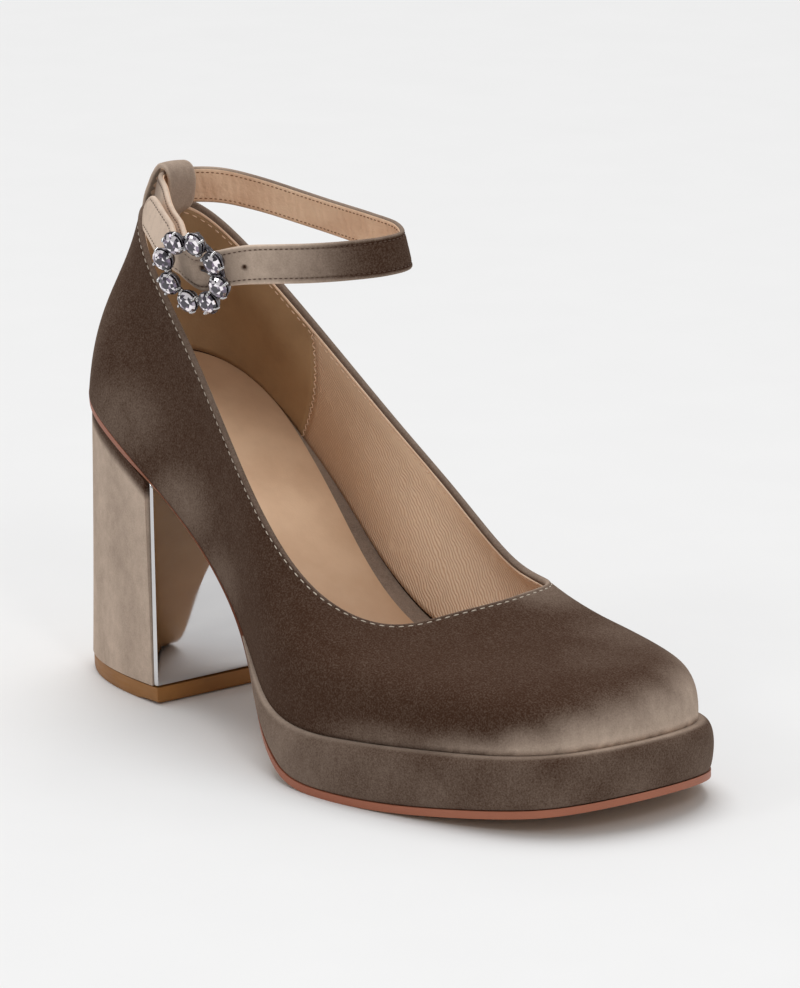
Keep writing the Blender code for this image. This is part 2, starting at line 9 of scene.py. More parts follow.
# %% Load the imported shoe
import json
import math
from collections import namedtuple

import bmesh
import bpy
import numpy as np
from mathutils import Matrix, Vector

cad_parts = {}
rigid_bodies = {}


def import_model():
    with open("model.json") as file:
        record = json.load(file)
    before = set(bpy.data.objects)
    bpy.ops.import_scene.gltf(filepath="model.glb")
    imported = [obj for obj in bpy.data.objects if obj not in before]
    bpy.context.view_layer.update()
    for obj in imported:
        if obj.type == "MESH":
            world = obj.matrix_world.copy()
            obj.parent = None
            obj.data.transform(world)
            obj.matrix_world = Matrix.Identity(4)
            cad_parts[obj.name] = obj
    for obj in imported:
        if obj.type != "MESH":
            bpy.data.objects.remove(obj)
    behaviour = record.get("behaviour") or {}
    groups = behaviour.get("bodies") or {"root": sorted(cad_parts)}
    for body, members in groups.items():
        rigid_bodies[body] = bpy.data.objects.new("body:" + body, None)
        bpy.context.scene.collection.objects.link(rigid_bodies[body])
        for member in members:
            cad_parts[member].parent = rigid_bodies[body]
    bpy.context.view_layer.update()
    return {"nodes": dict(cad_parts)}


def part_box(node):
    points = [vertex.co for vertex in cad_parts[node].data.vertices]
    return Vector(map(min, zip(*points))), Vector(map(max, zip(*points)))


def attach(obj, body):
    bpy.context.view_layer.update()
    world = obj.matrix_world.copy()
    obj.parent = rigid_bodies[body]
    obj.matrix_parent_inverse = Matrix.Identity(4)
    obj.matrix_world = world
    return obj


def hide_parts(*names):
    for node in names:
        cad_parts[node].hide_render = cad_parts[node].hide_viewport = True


for old in list(bpy.data.objects):
    bpy.data.objects.remove(old, do_unlink=True)
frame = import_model()
MM = 0.001

# %% [markdown]
# ## Where the tables start
# The tables count from the back of the heel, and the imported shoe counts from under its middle.
# The heel's top lift is the same shape on both sides, so its box gives the way from one to the
# other: its back is a little in from the tables' zero, and its middle is their y of zero.

# %% The way from the tables to the shoe
LIFT_BACK = 0.3
lift_low, lift_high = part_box("heel_top_lift")
ZERO = np.array([lift_low.x - LIFT_BACK * MM, (lift_low.y + lift_high.y) / 2, 0.0])


def in_place(points):
    """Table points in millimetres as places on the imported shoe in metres."""
    return np.asarray(points, float) * MM + ZERO


def in_tables(places):
    """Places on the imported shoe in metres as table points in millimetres."""
    return (np.asarray(places, float) - ZERO) / MM


print("tables start at", np.round(ZERO / MM, 2), "mm")

# %% [markdown]
# ## The camera
# The photograph looks down a little from the toe end of the outer side. A long lens from 1.5 m
# keeps its flat perspective. Azimuth and elevation place the camera round the shoe, and a track
# quaternion turns it to its target, the middle of the shoe as the camera sees it.

# %% Camera at the photograph's angle
AZIMUTH = math.radians(50.36)
ELEVATION = math.radians(14.26)
DISTANCE = 1.5
TARGET = Vector(in_place((119.97, 9.32, 70.33)))
LENS = 190.0
SENSOR = 36.0

toward_camera = Vector((
    math.sin(AZIMUTH) * math.cos(ELEVATION),
    -math.cos(AZIMUTH) * math.cos(ELEVATION),
    math.sin(ELEVATION),
))
camera = bpy.data.objects.new("camera", bpy.data.cameras.new("camera"))
camera.data.lens = LENS
camera.data.sensor_width = SENSOR
camera.location = TARGET + toward_camera * DISTANCE
camera.rotation_mode = "QUATERNION"
camera.rotation_quaternion = (-toward_camera).to_track_quat("-Z", "Y")
bpy.context.scene.collection.objects.link(camera)
bpy.context.scene.camera = camera
print("camera at", [round(value, 3) for value in camera.location])

# %% [markdown]
# ## Nodes in a few words
# A material is a tree of nodes. These helpers place a node, set or link its sockets by name, and
# give back the socket that the next node reads, so that each material below reads from top to
# bottom.

# %% Node helpers


def place(tree, kind, settings=None, **sockets):
    """A node of that kind, with its settings, and each named socket set or linked."""
    node = tree.nodes.new(kind)
    for name, value in (settings or {}).items():
        setattr(node, name, value)
    for name, value in sockets.items():
        feed(tree, node.inputs[name.replace("_", " ")], value)
    return node


def feed(tree, socket, value):
    """Links a socket to another one, or sets it to a plain value."""
    if isinstance(value, bpy.types.NodeSocket):
        tree.links.new(value, socket)
    else:
        socket.default_value = value


def calc(tree, operation, first, second=0.0, clamp=False):
    """One sum of two values."""
    node = place(tree, "ShaderNodeMath", {"operation": operation, "use_clamp": clamp})
    feed(tree, node.inputs[0], first)
    feed(tree, node.inputs[1], second)
    return node.outputs[0]


def mixed(tree, share, first, second):
    """A colour between two colours."""
    node = place(tree, "ShaderNodeMix", {"data_type": "RGBA"})
    feed(tree, node.inputs[0], share)
    feed(tree, node.inputs[6], first)
    feed(tree, node.inputs[7], second)
    return node.outputs[2]


def soft_step(tree, value, low, high):
    """0 below low, 1 above high, and a smooth rise between."""
    smooth = {"interpolation_type": "SMOOTHSTEP"}
    node = place(tree, "ShaderNodeMapRange", smooth, Value=value, From_Min=low, From_Max=high)
    return node.outputs["Result"]


def noise(tree, where, size, detail=2.0, rough=0.5):
    """Soft noise whose lumps are about so many millimetres across."""
    scale = 1 / (size * MM)
    made = place(tree, "ShaderNodeTexNoise", Vector=where, Scale=scale, Detail=detail, Roughness=rough)
    return made.outputs["Fac"]


def own_place(tree):
    """Where a point lies on its own object."""
    return place(tree, "ShaderNodeTexCoord").outputs["Object"]


def painted(tree, name):
    """The attribute of that name, which is painted on the mesh."""
    return place(tree, "ShaderNodeAttribute", {"attribute_name": name}).outputs["Fac"]


def stretched(tree, where, scale):
    """Coordinates drawn out along an axis, so that a pattern gets a lie."""
    return place(tree, "ShaderNodeMapping", Vector=where, Scale=scale).outputs["Vector"]


def rgb(red, green, blue):
    """A colour named by its 0 to 255 values on a screen, as light."""
    screen = np.array([red, green, blue]) / 255
    light = np.where(screen <= 0.04045, screen / 12.92, ((screen + 0.055) / 1.055) ** 2.4)
    return (*(float(value) for value in light), 1.0)


def new_material(name, **sockets):
    """A material, its tree and its Principled shader with the plain values set on its own sockets."""
    made = bpy.data.materials.new(name)
    made.use_nodes = True
    tree = made.node_tree
    shader = tree.nodes["Principled BSDF"]
    for socket, value in sockets.items():
        feed(tree, shader.inputs[socket.replace("_", " ")], value)
    return made, tree, shader


def tint(tree, shader, share, first, second):
    """Gives the shader a colour between two colours."""
    feed(tree, shader.inputs["Base Color"], mixed(tree, share, first, second))


def roughen(tree, shader, value, least, swing):
    """Gives the shader a roughness that rises from least by so much with the value."""
    feed(tree, shader.inputs["Roughness"], calc(tree, "ADD", calc(tree, "MULTIPLY", value, swing), least))


def bumped(tree, shader, height, depth):
    """Feeds the shader's normal from a height, with so many millimetres of depth."""
    node = place(tree, "ShaderNodeBump", Height=height, Strength=1.0, Distance=depth * MM)
    feed(tree, shader.inputs["Normal"], node.outputs["Normal"])


def new_group(name, inputs, outputs):
    """A shader node group with named sockets for values, and its input and output nodes."""
    tree = bpy.data.node_groups.new(name, "ShaderNodeTree")
    for in_out, sockets in (("INPUT", inputs), ("OUTPUT", outputs)):
        for socket in sockets:
            tree.interface.new_socket(socket, in_out=in_out, socket_type="NodeSocketFloat")
    return tree, tree.nodes.new("NodeGroupInput"), tree.nodes.new("NodeGroupOutput")


def use_group(tree, group, **sockets):
    """A node that runs a group, with each named socket set or linked."""
    return place(tree, "ShaderNodeGroup", {"node_tree": group}, **sockets)


print("node helpers ready")

# %% [markdown]
# ## The studio
# The shoe stands on a plain pale floor in even light. A sun with a very wide disc throws the soft
# shadows of a big overhead lamp without a bright spot on the floor, and the world fills in. Two
# area lamps give the metal and the stones something to reflect.

# %% Floor, world and lamps
FLOOR_SIZE = 8.0
PAPER_CLOUD = 40
WORLD_LIGHT = 0.49
SHOE_MIDDLE = (0.0, 0.0, 0.07)
floor_mesh = bmesh.new()
bmesh.ops.create_grid(floor_mesh, x_segments=1, y_segments=1, size=FLOOR_SIZE / 2)
floor_data = bpy.data.meshes.new("floor")
floor_mesh.to_mesh(floor_data)
floor_mesh.free()
floor = bpy.data.objects.new("floor", floor_data)
bpy.context.scene.collection.objects.link(floor)
paper, paper_tree, paper_shader = new_material("floor paper", Roughness=0.9, Specular_IOR_Level=0.1)
paper_clouds = noise(paper_tree, own_place(paper_tree), PAPER_CLOUD)
tint(paper_tree, paper_shader, paper_clouds, rgb(233, 233, 233), rgb(236, 236, 236))
floor_data.materials.append(paper)

world = bpy.data.worlds.new("studio")
world.use_nodes = True
backdrop = world.node_tree.nodes["Background"]
backdrop.inputs["Color"].default_value = (1.0, 1.0, 1.0, 1.0)
backdrop.inputs["Strength"].default_value = WORLD_LIGHT
bpy.context.scene.world = world
bpy.context.scene.view_settings.view_transform = "Standard"


def lamp(name, kind, where, energy, **settings):
    """A lamp at a place, turned to the middle of the shoe."""
    data = bpy.data.lights.new(name, kind)
    data.energy = energy
    for setting, value in settings.items():
        setattr(data, setting, value)
    made = bpy.data.objects.new(name, data)
    made.location = where
    made.rotation_mode = "QUATERNION"
    made.rotation_quaternion = (Vector(SHOE_MIDDLE) - Vector(where)).to_track_quat("-Z", "Y")
    bpy.context.scene.collection.objects.link(made)


lamp("overhead", "SUN", (-0.52, 0.32, 2.0), 1.73, angle=math.radians(42))
lamp("front box", "AREA", (1.7, -0.6, 1.5), 4.0, shape="RECTANGLE", size=0.3, size_y=0.5)
lamp("side box", "AREA", (-0.6, -1.8, 1.4), 3.0, shape="RECTANGLE", size=0.5, size_y=0.3)

# %% [markdown]
# ## Velvet
# Velvet is a dense pile of short fibres. Brushed one way it looks dark brown, brushed the other
# way the same cloth catches the light and turns pale grey, and at a grazing angle every fibre end
# catches light. The first two are painted here as a colour that changes over the cloth: each velvet
# piece carries an attribute called nap, from 0 (dark) to 1 (pale), which is painted sheen, in a few
# places also painted shade and painted light, and is drawn further down. A node group breaks that
# drawing up with clouds and strokes, because every velvet piece uses it. Pale nap lies less evenly
# than dark nap, so the clouds grow with it. The grazing light is the Principled shader's own sheen.

# %% The pile group
CLOUD_SIZE = 13
STROKE_SIZE = 2.2
FIBRE_SIZE = 0.5
STROKE_STRETCH = (1.0, 1.0, 0.6)
STROKE_RISE = 0.6  # of a stroke in the bump, beside the fibres
DRIFT = 0.65  # how much clouds and strokes change the nap
DARK_SWING = 0.05  # the share of that in dark nap
PALE_SWING = 0.60  # and how much more of it in pale nap
SPECKLE = 0.30  # from one fibre to the next
pile, pile_in, pile_out = new_group("velvet pile", ["Nap"], ["Shade", "Height"])
pile_where = own_place(pile)
clouds = noise(pile, pile_where, CLOUD_SIZE, detail=3)
strokes = noise(pile, stretched(pile, pile_where, STROKE_STRETCH), STROKE_SIZE, detail=5)
fibres = noise(pile, pile_where, FIBRE_SIZE, rough=0.7)
swing = calc(pile, "ADD", calc(pile, "MULTIPLY", pile_in.outputs["Nap"], PALE_SWING), DARK_SWING)
drift = calc(pile, "MULTIPLY", calc(pile, "SUBTRACT", calc(pile, "ADD", clouds, strokes), 1.0), DRIFT)
speckle = calc(pile, "MULTIPLY", calc(pile, "SUBTRACT", fibres, 0.5), SPECKLE)
broken = calc(pile, "ADD", calc(pile, "MULTIPLY", drift, swing), speckle)
pile_height = calc(pile, "ADD", fibres, calc(pile, "MULTIPLY", strokes, STROKE_RISE))
feed(pile, pile_out.inputs["Shade"], calc(pile, "ADD", pile_in.outputs["Nap"], broken, clamp=True))
feed(pile, pile_out.inputs["Height"], pile_height)
print("pile group:", len(pile.nodes), "nodes")

# %% The velvet material
VELVET_DARK = rgb(61, 38, 24)
VELVET_PALE = rgb(221, 199, 180)
PILE_DEPTH = 0.12
velvet, velvet_tree, velvet_shader = new_material(
    "taupe velvet",
    Roughness=0.92,
    Specular_IOR_Level=0.15,
    Sheen_Weight=0.08,
    Sheen_Roughness=0.35,
    Sheen_Tint=rgb(222, 186, 152),
)
velvet_pile = use_group(velvet_tree, pile, Nap=painted(velvet_tree, "nap"))
tint(velvet_tree, velvet_shader, velvet_pile.outputs["Shade"], VELVET_DARK, VELVET_PALE)
bumped(velvet_tree, velvet_shader, velvet_pile.outputs["Height"], PILE_DEPTH)
print("velvet reads the attribute nap")

# %% [markdown]
# ## Leathers
# The sock, the linings and the sole are leather of different kinds. What they share is a grain of
# small cells and a cloudy dye, so that is one group with the number of cells as an input. The
# colours and the depth of the grain stay in each material.

# %% The grain group
PORE_SIZE = 0.5
DYE_SIZE = 18
grain, grain_in, grain_out = new_group("leather grain", ["Cells per metre"], ["Height", "Dye"])
grain_where = own_place(grain)
cells = place(grain, "ShaderNodeTexVoronoi", {"feature": "SMOOTH_F1"}, Vector=grain_where)
feed(grain, cells.inputs["Scale"], grain_in.outputs["Cells per metre"])
pores = noise(grain, grain_where, PORE_SIZE)
feed(grain, grain_out.inputs["Height"], calc(grain, "ADD", cells.outputs["Distance"], pores))
feed(grain, grain_out.inputs["Dye"], noise(grain, grain_where, DYE_SIZE, detail=4, rough=0.6))
print("grain group:", len(grain.nodes), "nodes")

# %% Smooth leathers
DARKENED_LEATHER = rgb(150, 112, 82)


def smooth_leather(name, light, deep, rough, cell, depth):
    """A leather whose dye drifts between two colours over a grain of cells so many mm across.

    Where a mesh has the attribute darkened, the leather there turns darker: on the sock that is painted
    shade.
    """
    made, tree, shader = new_material(name, Specular_IOR_Level=0.35, Roughness=rough)
    skin = use_group(tree, grain, Cells_per_metre=1 / (cell * MM))
    dye = soft_step(tree, skin.outputs["Dye"], 0.3, 0.7)
    tint(tree, shader, painted(tree, "darkened"), mixed(tree, dye, light, deep), DARKENED_LEATHER)
    bumped(tree, shader, skin.outputs["Height"], depth)
    return made


sock_leather = smooth_leather(
    "sock leather", rgb(232, 198, 165), rgb(220, 184, 151), rough=0.5, cell=0.7, depth=0.03
)
counter_leather = smooth_leather(
    "counter leather", rgb(184, 152, 115), rgb(170, 138, 103), rough=0.7, cell=0.8, depth=0.05
)
strap_leather = smooth_leather(
    "strap leather", rgb(248, 214, 182), rgb(228, 188, 156), rough=0.55, cell=0.8, depth=0.16
)
fold_leather = smooth_leather(
    "fold leather", rgb(255, 224, 196), rgb(238, 202, 172), rough=0.6, cell=0.7, depth=0.05
)
print("smooth leathers: sock, counter, strap and fold")

# %% [markdown]
# ## The ribbed lining
# The front of the shoe is lined with a soft leather that has been pressed into fine ribs. They slope
# down to the toe, waver a little, and run out here and there. A wave across that slope, bent by
# noise, gives them: where it passes through zero lies a narrow groove. A second noise lets them
# fade, the attribute ribbed keeps them off the collar, and the attribute darkened makes the back darker.

# %% Ribbed lining
RIB_PITCH = 0.8
RIB_DEPTH = 0.16
RIB_FALL = math.radians(56)  # how steeply a rib drops to the toe
RIB_WAVER = 1.8  # how far a rib strays
WAVER_SIZE = 4
FADE_SIZE = 5
ribbed_leather, rib_tree, rib_shader = new_material(
    "ribbed leather", Roughness=0.65, Specular_IOR_Level=0.25
)
rib_where = own_place(rib_tree)
rib_axes = place(rib_tree, "ShaderNodeSeparateXYZ", Vector=rib_where).outputs
rib_up = calc(rib_tree, "MULTIPLY", rib_axes["Z"], math.cos(RIB_FALL))
rib_ahead = calc(rib_tree, "MULTIPLY", rib_axes["X"], math.sin(RIB_FALL))
waver = calc(rib_tree, "MULTIPLY", noise(rib_tree, rib_where, WAVER_SIZE), RIB_WAVER * MM)
across_ribs = calc(rib_tree, "ADD", calc(rib_tree, "ADD", rib_up, rib_ahead), waver)
rib_wave = calc(rib_tree, "SINE", calc(rib_tree, "MULTIPLY", across_ribs, math.pi / (RIB_PITCH * MM)))
groove = calc(rib_tree, "SUBTRACT", 1.0, calc(rib_tree, "ABSOLUTE", rib_wave))
fade = soft_step(rib_tree, noise(rib_tree, rib_where, FADE_SIZE, detail=4, rough=0.6), 0.20, 0.44)
groove = calc(rib_tree, "MULTIPLY", groove, calc(rib_tree, "MULTIPLY", fade, painted(rib_tree, "ribbed")))
rib_colour = mixed(rib_tree, groove, rgb(255, 227, 197), rgb(224, 182, 148))
tint(rib_tree, rib_shader, painted(rib_tree, "darkened"), rib_colour, DARKENED_LEATHER)
bumped(rib_tree, rib_shader, calc(rib_tree, "MULTIPLY", groove, -1.0), RIB_DEPTH)
print("ribs every", RIB_PITCH, "mm")

# %% [markdown]
# ## Sole, lift and thread
# The outsole is tan underneath, and its cut edge is painted terracotta, which is darkened along the
# waist with painted shade. The attributes edge and waist_edge_shade say where, and are drawn on the
# mesh further down. The lift is caramel rubber with faint scuffs. Thread is plain, with a twist in its bump.

# %% Sole, rubber and thread
SOLE_CELL = 0.6
SOLE_DEPTH = 0.04
sole_leather, sole_tree, sole_shader = new_material(
    "sole leather", Roughness=0.5, Specular_IOR_Level=0.4
)
sole_skin = use_group(sole_tree, grain, Cells_per_metre=1 / (SOLE_CELL * MM))
sole_tan = mixed(sole_tree, sole_skin.outputs["Dye"], rgb(184, 140, 92), rgb(164, 118, 74))
edge_paint_and_shade = mixed(sole_tree, sole_skin.outputs["Dye"], rgb(180, 112, 84), rgb(154, 90, 66))
# Painted shade: along the waist the edge's paint turns dark brown.
edge_paint_and_shade = mixed(sole_tree, painted(sole_tree, "waist_edge_shade"), edge_paint_and_shade, rgb(92, 64, 50))
tint(sole_tree, sole_shader, painted(sole_tree, "edge"), sole_tan, edge_paint_and_shade)
bumped(sole_tree, sole_shader, sole_skin.outputs["Height"], SOLE_DEPTH)

LIFT_CLOUD = 9
SCUFF_SIZE = 2
SCUFF_STRETCH = (0.3, 0.3, 2.0)
SCUFF_DEPTH = 0.04
lift_rubber, lift_tree, lift_shader = new_material("lift rubber", Specular_IOR_Level=0.4)
lift_where = own_place(lift_tree)
lift_cloud = noise(lift_tree, lift_where, LIFT_CLOUD, detail=4, rough=0.6)
lift_scuff = noise(lift_tree, stretched(lift_tree, lift_where, SCUFF_STRETCH), SCUFF_SIZE, detail=3)
tint(lift_tree, lift_shader, lift_cloud, rgb(168, 116, 60), rgb(136, 90, 42))
roughen(lift_tree, lift_shader, lift_scuff, 0.35, 0.4)
bumped(lift_tree, lift_shader, lift_scuff, SCUFF_DEPTH)

TWIST_SIZE = 0.25
TWIST_DEPTH = 0.05


def thread_material(name, light, deep):
    """A thread of two shades that are twisted together."""
    made, tree, shader = new_material(name, Roughness=0.7, Specular_IOR_Level=0.25, Sheen_Weight=0.2)
    twist = noise(tree, own_place(tree), TWIST_SIZE, detail=1)
    tint(tree, shader, twist, light, deep)
    bumped(tree, shader, twist, TWIST_DEPTH)
    return made


pale_thread = thread_material("pale thread", rgb(222, 210, 194), rgb(184, 168, 150))
tan_thread = thread_material("tan thread", rgb(250, 222, 194), rgb(226, 192, 160))
dark_thread = thread_material("brown thread", rgb(104, 80, 64), rgb(70, 54, 44))
rust_thread = thread_material("rust thread", rgb(152, 106, 72), rgb(118, 78, 50))
print("sole, rubber and four threads")

# %% [markdown]
# ## Metal and stones
# The plate on the heel's breast is a mirror. Real chrome is never quite clean, so faint wiping
# marks change its roughness. The buckle's cups are darker, and tarnished in small patches.
# The stones are cut glass with a foil behind them, so hardly any light passes through: each facet
# throws back one glint, white, lilac or nearly black. That glint is painted: the attribute facet says
# how bright each facet's painted glint is, and a clear coat is the glass.

# %% Chrome, cup metal and crystal
WIPE_SIZE = 6
WIPE_STRETCH = (1.0, 0.25, 1.0)
TARNISH_SIZE = 1.2
GLINT_SIZE = 1.0
chrome, chrome_tree, chrome_shader = new_material("chrome", Metallic=1.0)
wiped = noise(
    chrome_tree, stretched(chrome_tree, own_place(chrome_tree), WIPE_STRETCH), WIPE_SIZE, detail=4
)
tint(chrome_tree, chrome_shader, wiped, rgb(214, 213, 213), rgb(200, 199, 200))
roughen(chrome_tree, chrome_shader, wiped, 0.0, 0.08)

cup_metal, cup_tree, cup_shader = new_material("cup metal", Metallic=1.0)
tarnish = noise(cup_tree, own_place(cup_tree), TARNISH_SIZE, detail=3)
tarnished = soft_step(cup_tree, tarnish, 0.35, 0.7)
tint(cup_tree, cup_shader, tarnished, rgb(132, 128, 132), rgb(58, 54, 58))
roughen(cup_tree, cup_shader, tarnish, 0.12, 0.25)

crystal, crystal_tree, crystal_shader = new_material(
    "crystal", Metallic=0.9, Coat_Weight=1.0, Coat_Roughness=0.02, Coat_IOR=1.7
)
# Painted glints: each facet is coloured nearly black, lilac or white for the light it would throw back.
facet = painted(crystal_tree, "facet")
dim = mixed(crystal_tree, soft_step(crystal_tree, facet, 0.15, 0.6), rgb(34, 29, 40), rgb(116, 100, 124))
tint(crystal_tree, crystal_shader, soft_step(crystal_tree, facet, 0.68, 0.80), dim, rgb(255, 248, 253))
glint = noise(crystal_tree, own_place(crystal_tree), GLINT_SIZE, detail=1)
roughen(crystal_tree, crystal_shader, glint, 0.0, 0.12)
print("materials so far:", len(bpy.data.materials))

# %% [markdown]
# ## How the meshes are made
# Cloth is cut flat and then wrapped round a form, and the soft pieces here are made the same way.
# `create_grid` gives a flat sheet of quads, and every vertex then moves to the place that its row
# and column have on the shoe. Where the sheet meets itself, its edges are merged. The rows and
# columns can lie closer together where there is a stitch line or a seam, which an evenly
# subdivided mesh can't do.
# The hard pieces start from a copy of their CAD solid instead: its triangles are merged and joined
# to quads, its sharp edges are creased, and subdivision and a bevel make it smooth.

# %% Mesh helpers


def wrapped_grid(points, marks=None):
    """A grid whose vertices lie at points[row][column], in table millimetres, with float attributes."""
    places = in_place(points)
    rows, columns = places.shape[:2]
    bm = bmesh.new()
    layers = {name: bm.verts.layers.float.new(name) for name in marks or {}}
    bmesh.ops.create_grid(bm, x_segments=columns - 1, y_segments=rows - 1, size=1.0)
    for vert in bm.verts:
        column = round((vert.co.x + 1) / 2 * (columns - 1))
        row = round((vert.co.y + 1) / 2 * (rows - 1))
        vert.co = places[row, column]
        for name, layer in layers.items():
            vert[layer] = float(marks[name][row, column])
    bmesh.ops.remove_doubles(bm, verts=bm.verts, dist=0.002 * MM)
    return bm


def close_up(bm):
    """Fills open ends and turns the faces out."""
    open_edges = [edge for edge in bm.edges if edge.is_boundary]
    if open_edges:
        bmesh.ops.holes_fill(bm, edges=open_edges)
    bmesh.ops.recalc_face_normals(bm, faces=bm.faces)
    return bm


def new_piece(name, bm, material, replaces=()):
    """A bmesh as a smooth piece of the shoe, which rides on it and may stand for CAD nodes."""
    mesh = bpy.data.meshes.new(name)
    bm.to_mesh(mesh)
    bm.free()
    mesh.materials.append(material)
    mesh.shade_smooth()
    made = bpy.data.objects.new(name, mesh)
    bpy.context.scene.collection.objects.link(made)
    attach(made, "root")
    if replaces:
        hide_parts(*replaces)
    print(name, "has", len(mesh.polygons), "faces")
    return made


def finer_copy(node, name, material, levels, rounding=0.0, keep_angle=50):
    """A CAD solid again, subdivided between its sharp edges, which are then rounded."""
    bm = bmesh.new()
    bm.from_mesh(frame["nodes"][node].data)
    bmesh.ops.remove_doubles(bm, verts=bm.verts, dist=0.01 * MM)
    bmesh.ops.join_triangles(
        bm,
        faces=bm.faces,
        angle_face_threshold=math.radians(60),
        angle_shape_threshold=math.radians(100),
        topology_influence=2.0,
    )
    crease = bm.edges.layers.float.new("crease_edge")
    for edge in bm.edges:
        if edge.calc_face_angle(0.0) > math.radians(keep_angle):
            edge[crease] = 1.0
    made = new_piece(name, bm, material, [node])
    finer = made.modifiers.new("finer", "SUBSURF")
    finer.levels = levels
    finer.render_levels = levels
    if rounding:
        edge_round = made.modifiers.new("rounded edges", "BEVEL")
        edge_round.width = rounding * MM
        edge_round.segments = 3
        edge_round.limit_method = "ANGLE"
        edge_round.angle_limit = math.radians(40)
    bpy.context.view_layer.update()
    shaped = made.evaluated_get(bpy.context.evaluated_depsgraph_get())
    made.data = bpy.data.meshes.new_from_object(shaped)
    made.modifiers.clear()
    made.data.shade_smooth()
    print(" finer:", len(made.data.polygons), "faces")
    return made


def joined_copies(shape, matrices):
    """One bmesh of many copies of a small shape, each placed by its own matrix."""
    shape.verts.index_update()
    corners = np.array([(*vert.co, 1.0) for vert in shape.verts])
    faces = np.array([[vert.index for vert in face.verts] for face in shape.faces])
    starts = np.arange(len(matrices)) * len(corners)
    places = np.einsum("nij,kj->nki", np.array(matrices), corners)[:, :, :3]
    mesh = bpy.data.meshes.new("copies")
    mesh.from_pydata(places.reshape(-1, 3), [], (faces[None] + starts[:, None, None]).reshape(-1, 4))
    made = bmesh.new()
    made.from_mesh(mesh)
    bpy.data.meshes.remove(mesh)
    return made


def small_bead():
    """A little ball of quads, the shape of every stitch and claw."""
    bead = bmesh.new()
    bmesh.ops.create_cube(bead, size=2.0)
    bmesh.ops.subdivide_edges(bead, edges=bead.edges, cuts=2, use_grid_fill=True)
    for vert in bead.verts:
        vert.co.normalize()
    return bead


def points_of(obj):
    """A mesh's points in table millimetres, and its normals."""
    count = len(obj.data.vertices)
    places = np.empty(count * 3)
    normals = np.empty(count * 3)
    obj.data.vertices.foreach_get("co", places)
    obj.data.vertex_normals.foreach_get("vector", normals)
    return in_tables(places.reshape(-1, 3)), normals.reshape(-1, 3)


def mark(obj, name, values):
    """Writes a float attribute on a mesh's points."""
    layer = obj.data.attributes.new(name, "FLOAT", "POINT")
    layer.data.foreach_set("value", np.asarray(values, np.float32))


def shift_points(obj, shifts):
    """Moves a mesh's points by so many millimetres each."""
    obj.data.vertices.foreach_set("co", in_place(points_of(obj)[0] + shifts).ravel())
    obj.data.update()


def unit(vectors):
    """Vectors made one long."""
    return vectors / np.maximum(np.linalg.norm(vectors, axis=-1, keepdims=True), 1e-9)


def hill(distance, width):
    """1 at a distance of 0, falling off smoothly over so wide a way."""
    return np.exp(-((distance / width) ** 2))


def ramp(values, start, full):
    """0 up to the start, 1 from where it is full, and straight between."""
    return np.clip((values - start) / (full - start), 0, 1)


def lengths_along(line):
    """How far along a line of points each one lies."""
    return np.concatenate([[0], np.cumsum(np.linalg.norm(np.diff(line, axis=0), axis=1))])


def read_along(rows, done, wanted):
    """Rows of values that belong to lengths along a line, read at other lengths."""
    return np.column_stack([np.interp(wanted, done, column) for column in np.transpose(rows)])


print("mesh helpers ready")

# %% [markdown]
# ## Brushing the nap
# A hand that strokes velvet leaves places that catch the light, pale with soft borders, and here
# that light is painted sheen. Each stroke below is a place on the shoe, how far it reaches to the
# sides and up, and how pale its painted sheen gets there. The strongest are one pale band of painted
# sheen round the foot of the toe. A piece adds the strokes to its own base shade.

# %% Strokes of painted sheen
Stroke = namedtuple("Stroke", "x y z reach tall shade")
BLEND = 4  # the higher, the more the strongest stroke alone counts
SHEEN_STROKES = [
    Stroke(212, -30, 21.2, 11, 4.5, 0.24),
    Stroke(219, -25, 22.8, 11, 6.0, 0.42),
    Stroke(226, -14, 23.8, 12, 8.0, 0.54),
    Stroke(230, -2, 24.8, 13, 9.0, 0.56),
    Stroke(230, 12, 25.8, 13, 9.5, 0.57),
    Stroke(225, 26, 26.8, 13, 10.0, 0.57),
    Stroke(214, 36, 27.2, 13, 10.0, 0.46),
    Stroke(198, 42, 26.2, 16, 9.0, 0.26),
    Stroke(202, -36, 20.7, 15, 5.0, 0.20),
    Stroke(180, -43, 19.3, 22, 5.0, 0.14),
    Stroke(196, 34, 42.0, 18, 9.0, 0.06),
    Stroke(163, 27, 48.0, 13, 9.0, 0.14),
    Stroke(205, 12, 40.0, 12, 5.0, 0.03),
    Stroke(38, -30, 84.0, 17, 11.0, 0.10),
    Stroke(10, -20, 98.0, 14, 18.0, 0.06),
    Stroke(67, -30, 62.0, 14, 11.0, 0.14),
    Stroke(86, -31, 45.0, 13, 10.0, 0.10),
]


def painted_sheen(points, base):
    """How pale the nap is at points: a base shade and the strokes of painted sheen there, which run into one
    another.
    """
    total = np.zeros(np.shape(points)[:-1])
    for stroke in SHEEN_STROKES:
        away = (points - np.array([stroke.x, stroke.y, stroke.z])) / (stroke.reach, stroke.reach, stroke.tall)
        total += (stroke.shade * np.exp(-np.linalg.norm(away, axis=-1) ** 3)) ** BLEND
    return np.clip(base + total ** (1 / BLEND), 0, 1)


print("strokes:", len(SHEEN_STROKES))

# %% [markdown]
# ## The form of the upper
# A shoe's upper is drawn from sections of the last. Each row below is one section, from the back of
# the heel along the outer side to the toe and home along the inner side. It gives the foot of the
# wall on the feather line, the collar above it, and the angle and length of the two handles of the
# Bezier curve between them. A closed spline through every column gives as many sections as the
# mesh needs.

